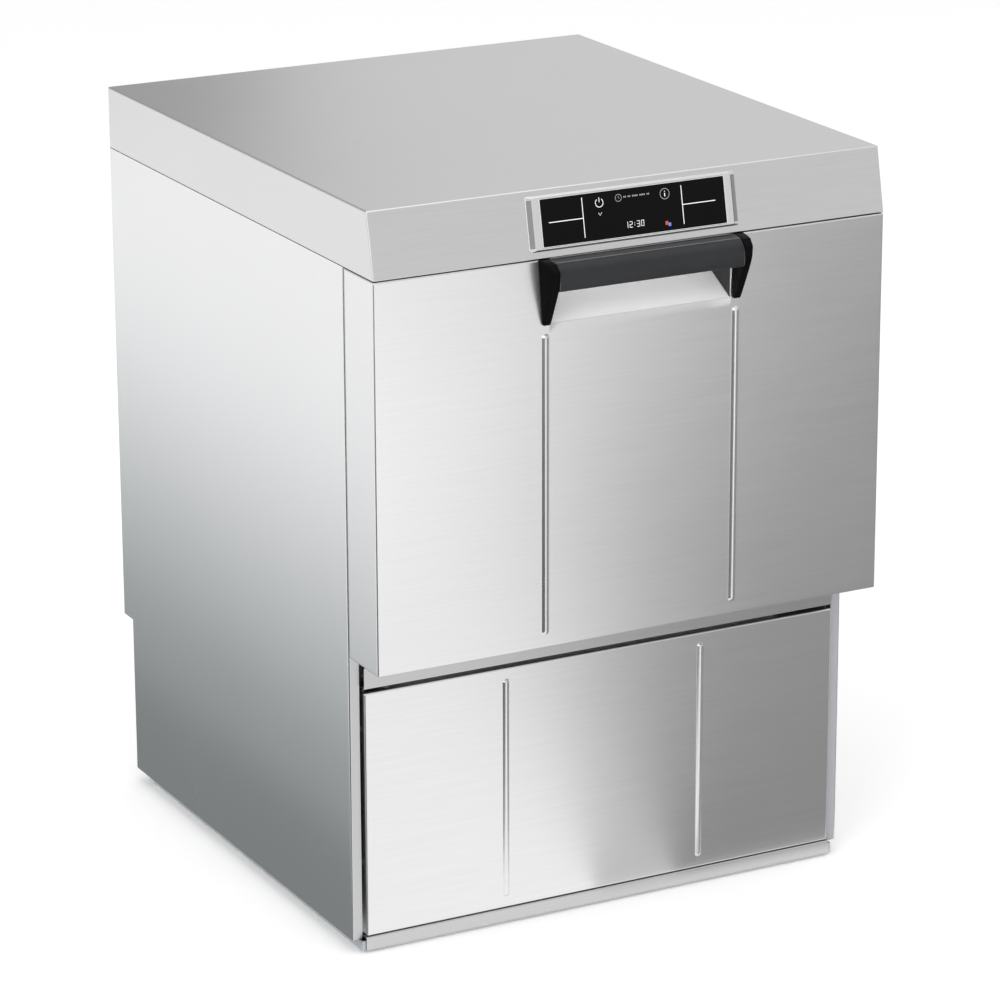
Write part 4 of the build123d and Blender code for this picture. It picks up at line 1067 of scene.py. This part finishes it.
# Where the sheets of the front turn from pale to grey: points on the floor, with a half-grey band on it.
RIGHT_EDGE = [(0.055, -0.284), (0.22, -0.64), (0.53, -1.38), (0.78, -1.89), (1.08, -2.26), (2.6, -5.0)]
band = shifted(RIGHT_EDGE, -0.05) + shifted(RIGHT_EDGE, 0.05)[::-1]
card("card_front_band", on_floor(band, 0.0045), 0.62)
card("card_front_right", on_floor(shifted(RIGHT_EDGE, 0.05) + [(6.5, -5.0), (4.5, -0.284)], 0.004), 0.27)
card("card_front_pale", on_floor([(-0.9, -0.262), (1.2, -0.262), (1.2, -1.7), (-0.9, -1.7)], 0.003), 1.10)
card("card_front_white", on_floor([(-0.9, -1.7), (2.2, -1.7), (2.2, -3.6), (-0.9, -3.6)], 0.003), 1.40)
LEFT_DARK = [(-4.0, -5.0), (-0.35, -2.6), (-0.25, -1.2), (-0.33, -0.50), (-0.62, -0.42), (-4.0, 0.2)]
card("card_front_left", on_floor(LEFT_DARK, 0.007), 0.05)
STRIPS = ((0.301, 0.25), (0.45, 0.36), (0.62, 0.56), (0.80, 0.80), (1.02, 1.16), (3.2, 1.0))
for side, label, front_end in ((-1, "left", -0.5), (1, "right", -0.25)):
    for (near, grey), (far, _) in zip(STRIPS, STRIPS[1:]):
        corners = [(side * far, front_end), (side * near, front_end), (side * near, 3.6), (side * far, 3.6)]
        cool = 1.0 - 0.10 * max(1.0 - grey, 0.0)
        card(f"card_{label}_{int(near * 1000)}", on_floor(corners, 0.005), grey, (cool, 1.0, 1.01))
card("card_behind", [(-2.5, 5.0, 0.6), (2.3, 5.6, 0.6), (2.3, 5.6, 4.5), (-2.5, 5.0, 4.5)], 0.36)

for name, (x0, y0), (x1, y1) in (
    ("wall_left", (-24.9, -24.9), (-24.9, 24.9)),
    ("wall_back", (-24.9, 24.9), (24.9, 24.9)),
    ("wall_right", (24.9, 24.9), (24.9, -24.9)),
    ("wall_front", (24.9, -24.9), (-24.9, -24.9)),
):
    wall = card(name, [(x0, y0, 0.0), (x1, y1, 0.0), (x1, y1, 30.0), (x0, y0, 30.0)], 1.0)
    wall.visible_camera = True            # a white backdrop for the camera alone
    wall.visible_glossy = False

# %% [markdown]
# The light is a white sky and two large soft boxes, one overhead and one in front on the left.

# %% Light
world = bpy.data.worlds.new("studio")
bpy.context.scene.world = world
world.use_nodes = True
world.node_tree.nodes["Background"].inputs[0].default_value = (1.0, 1.0, 1.0, 1)
world.node_tree.nodes["Background"].inputs[1].default_value = 0.78


def soft_box(name, place, aim, size, power):
    """Large square area light at a place, turned to face a point."""
    data = bpy.data.lights.new(name, "AREA")
    data.size = size
    data.energy = power
    obj = bpy.data.objects.new(name, data)
    bpy.context.scene.collection.objects.link(obj)
    obj.location = place
    obj.rotation_euler = (Vector(aim) - Vector(place)).to_track_quat("-Z", "Y").to_euler()
    return obj


soft_box("overhead", (0.2, -0.6, 4.2), (0, 0, 0.4), 4.0, 35)
soft_box("left_front", (-3.6, -3.0, 2.6), (0, 0, 0.4), 2.5, 60)

# %% [markdown]
# A long lens stands well back, to the left of the front and about a metre above the cover, looking down.

# %% Camera
CAMERA_PLACE = (-2.147, CASE - 3.844, 1.873)
YAW, PITCH, ROLL = 27.84, 17.81, 0.18      # degrees: turn from +Y towards +X, look down, tilt
camera_data = bpy.data.cameras.new("camera")
camera_data.lens = 157.5
camera_data.sensor_width = 36.0
camera_data.clip_end = 100
camera = bpy.data.objects.new("camera", camera_data)
bpy.context.scene.collection.objects.link(camera)
camera.location = CAMERA_PLACE
camera.rotation_euler = (math.radians(90 - PITCH), math.radians(ROLL), -math.radians(YAW))
bpy.context.scene.camera = camera
bpy.context.scene.view_settings.view_transform = "Standard"
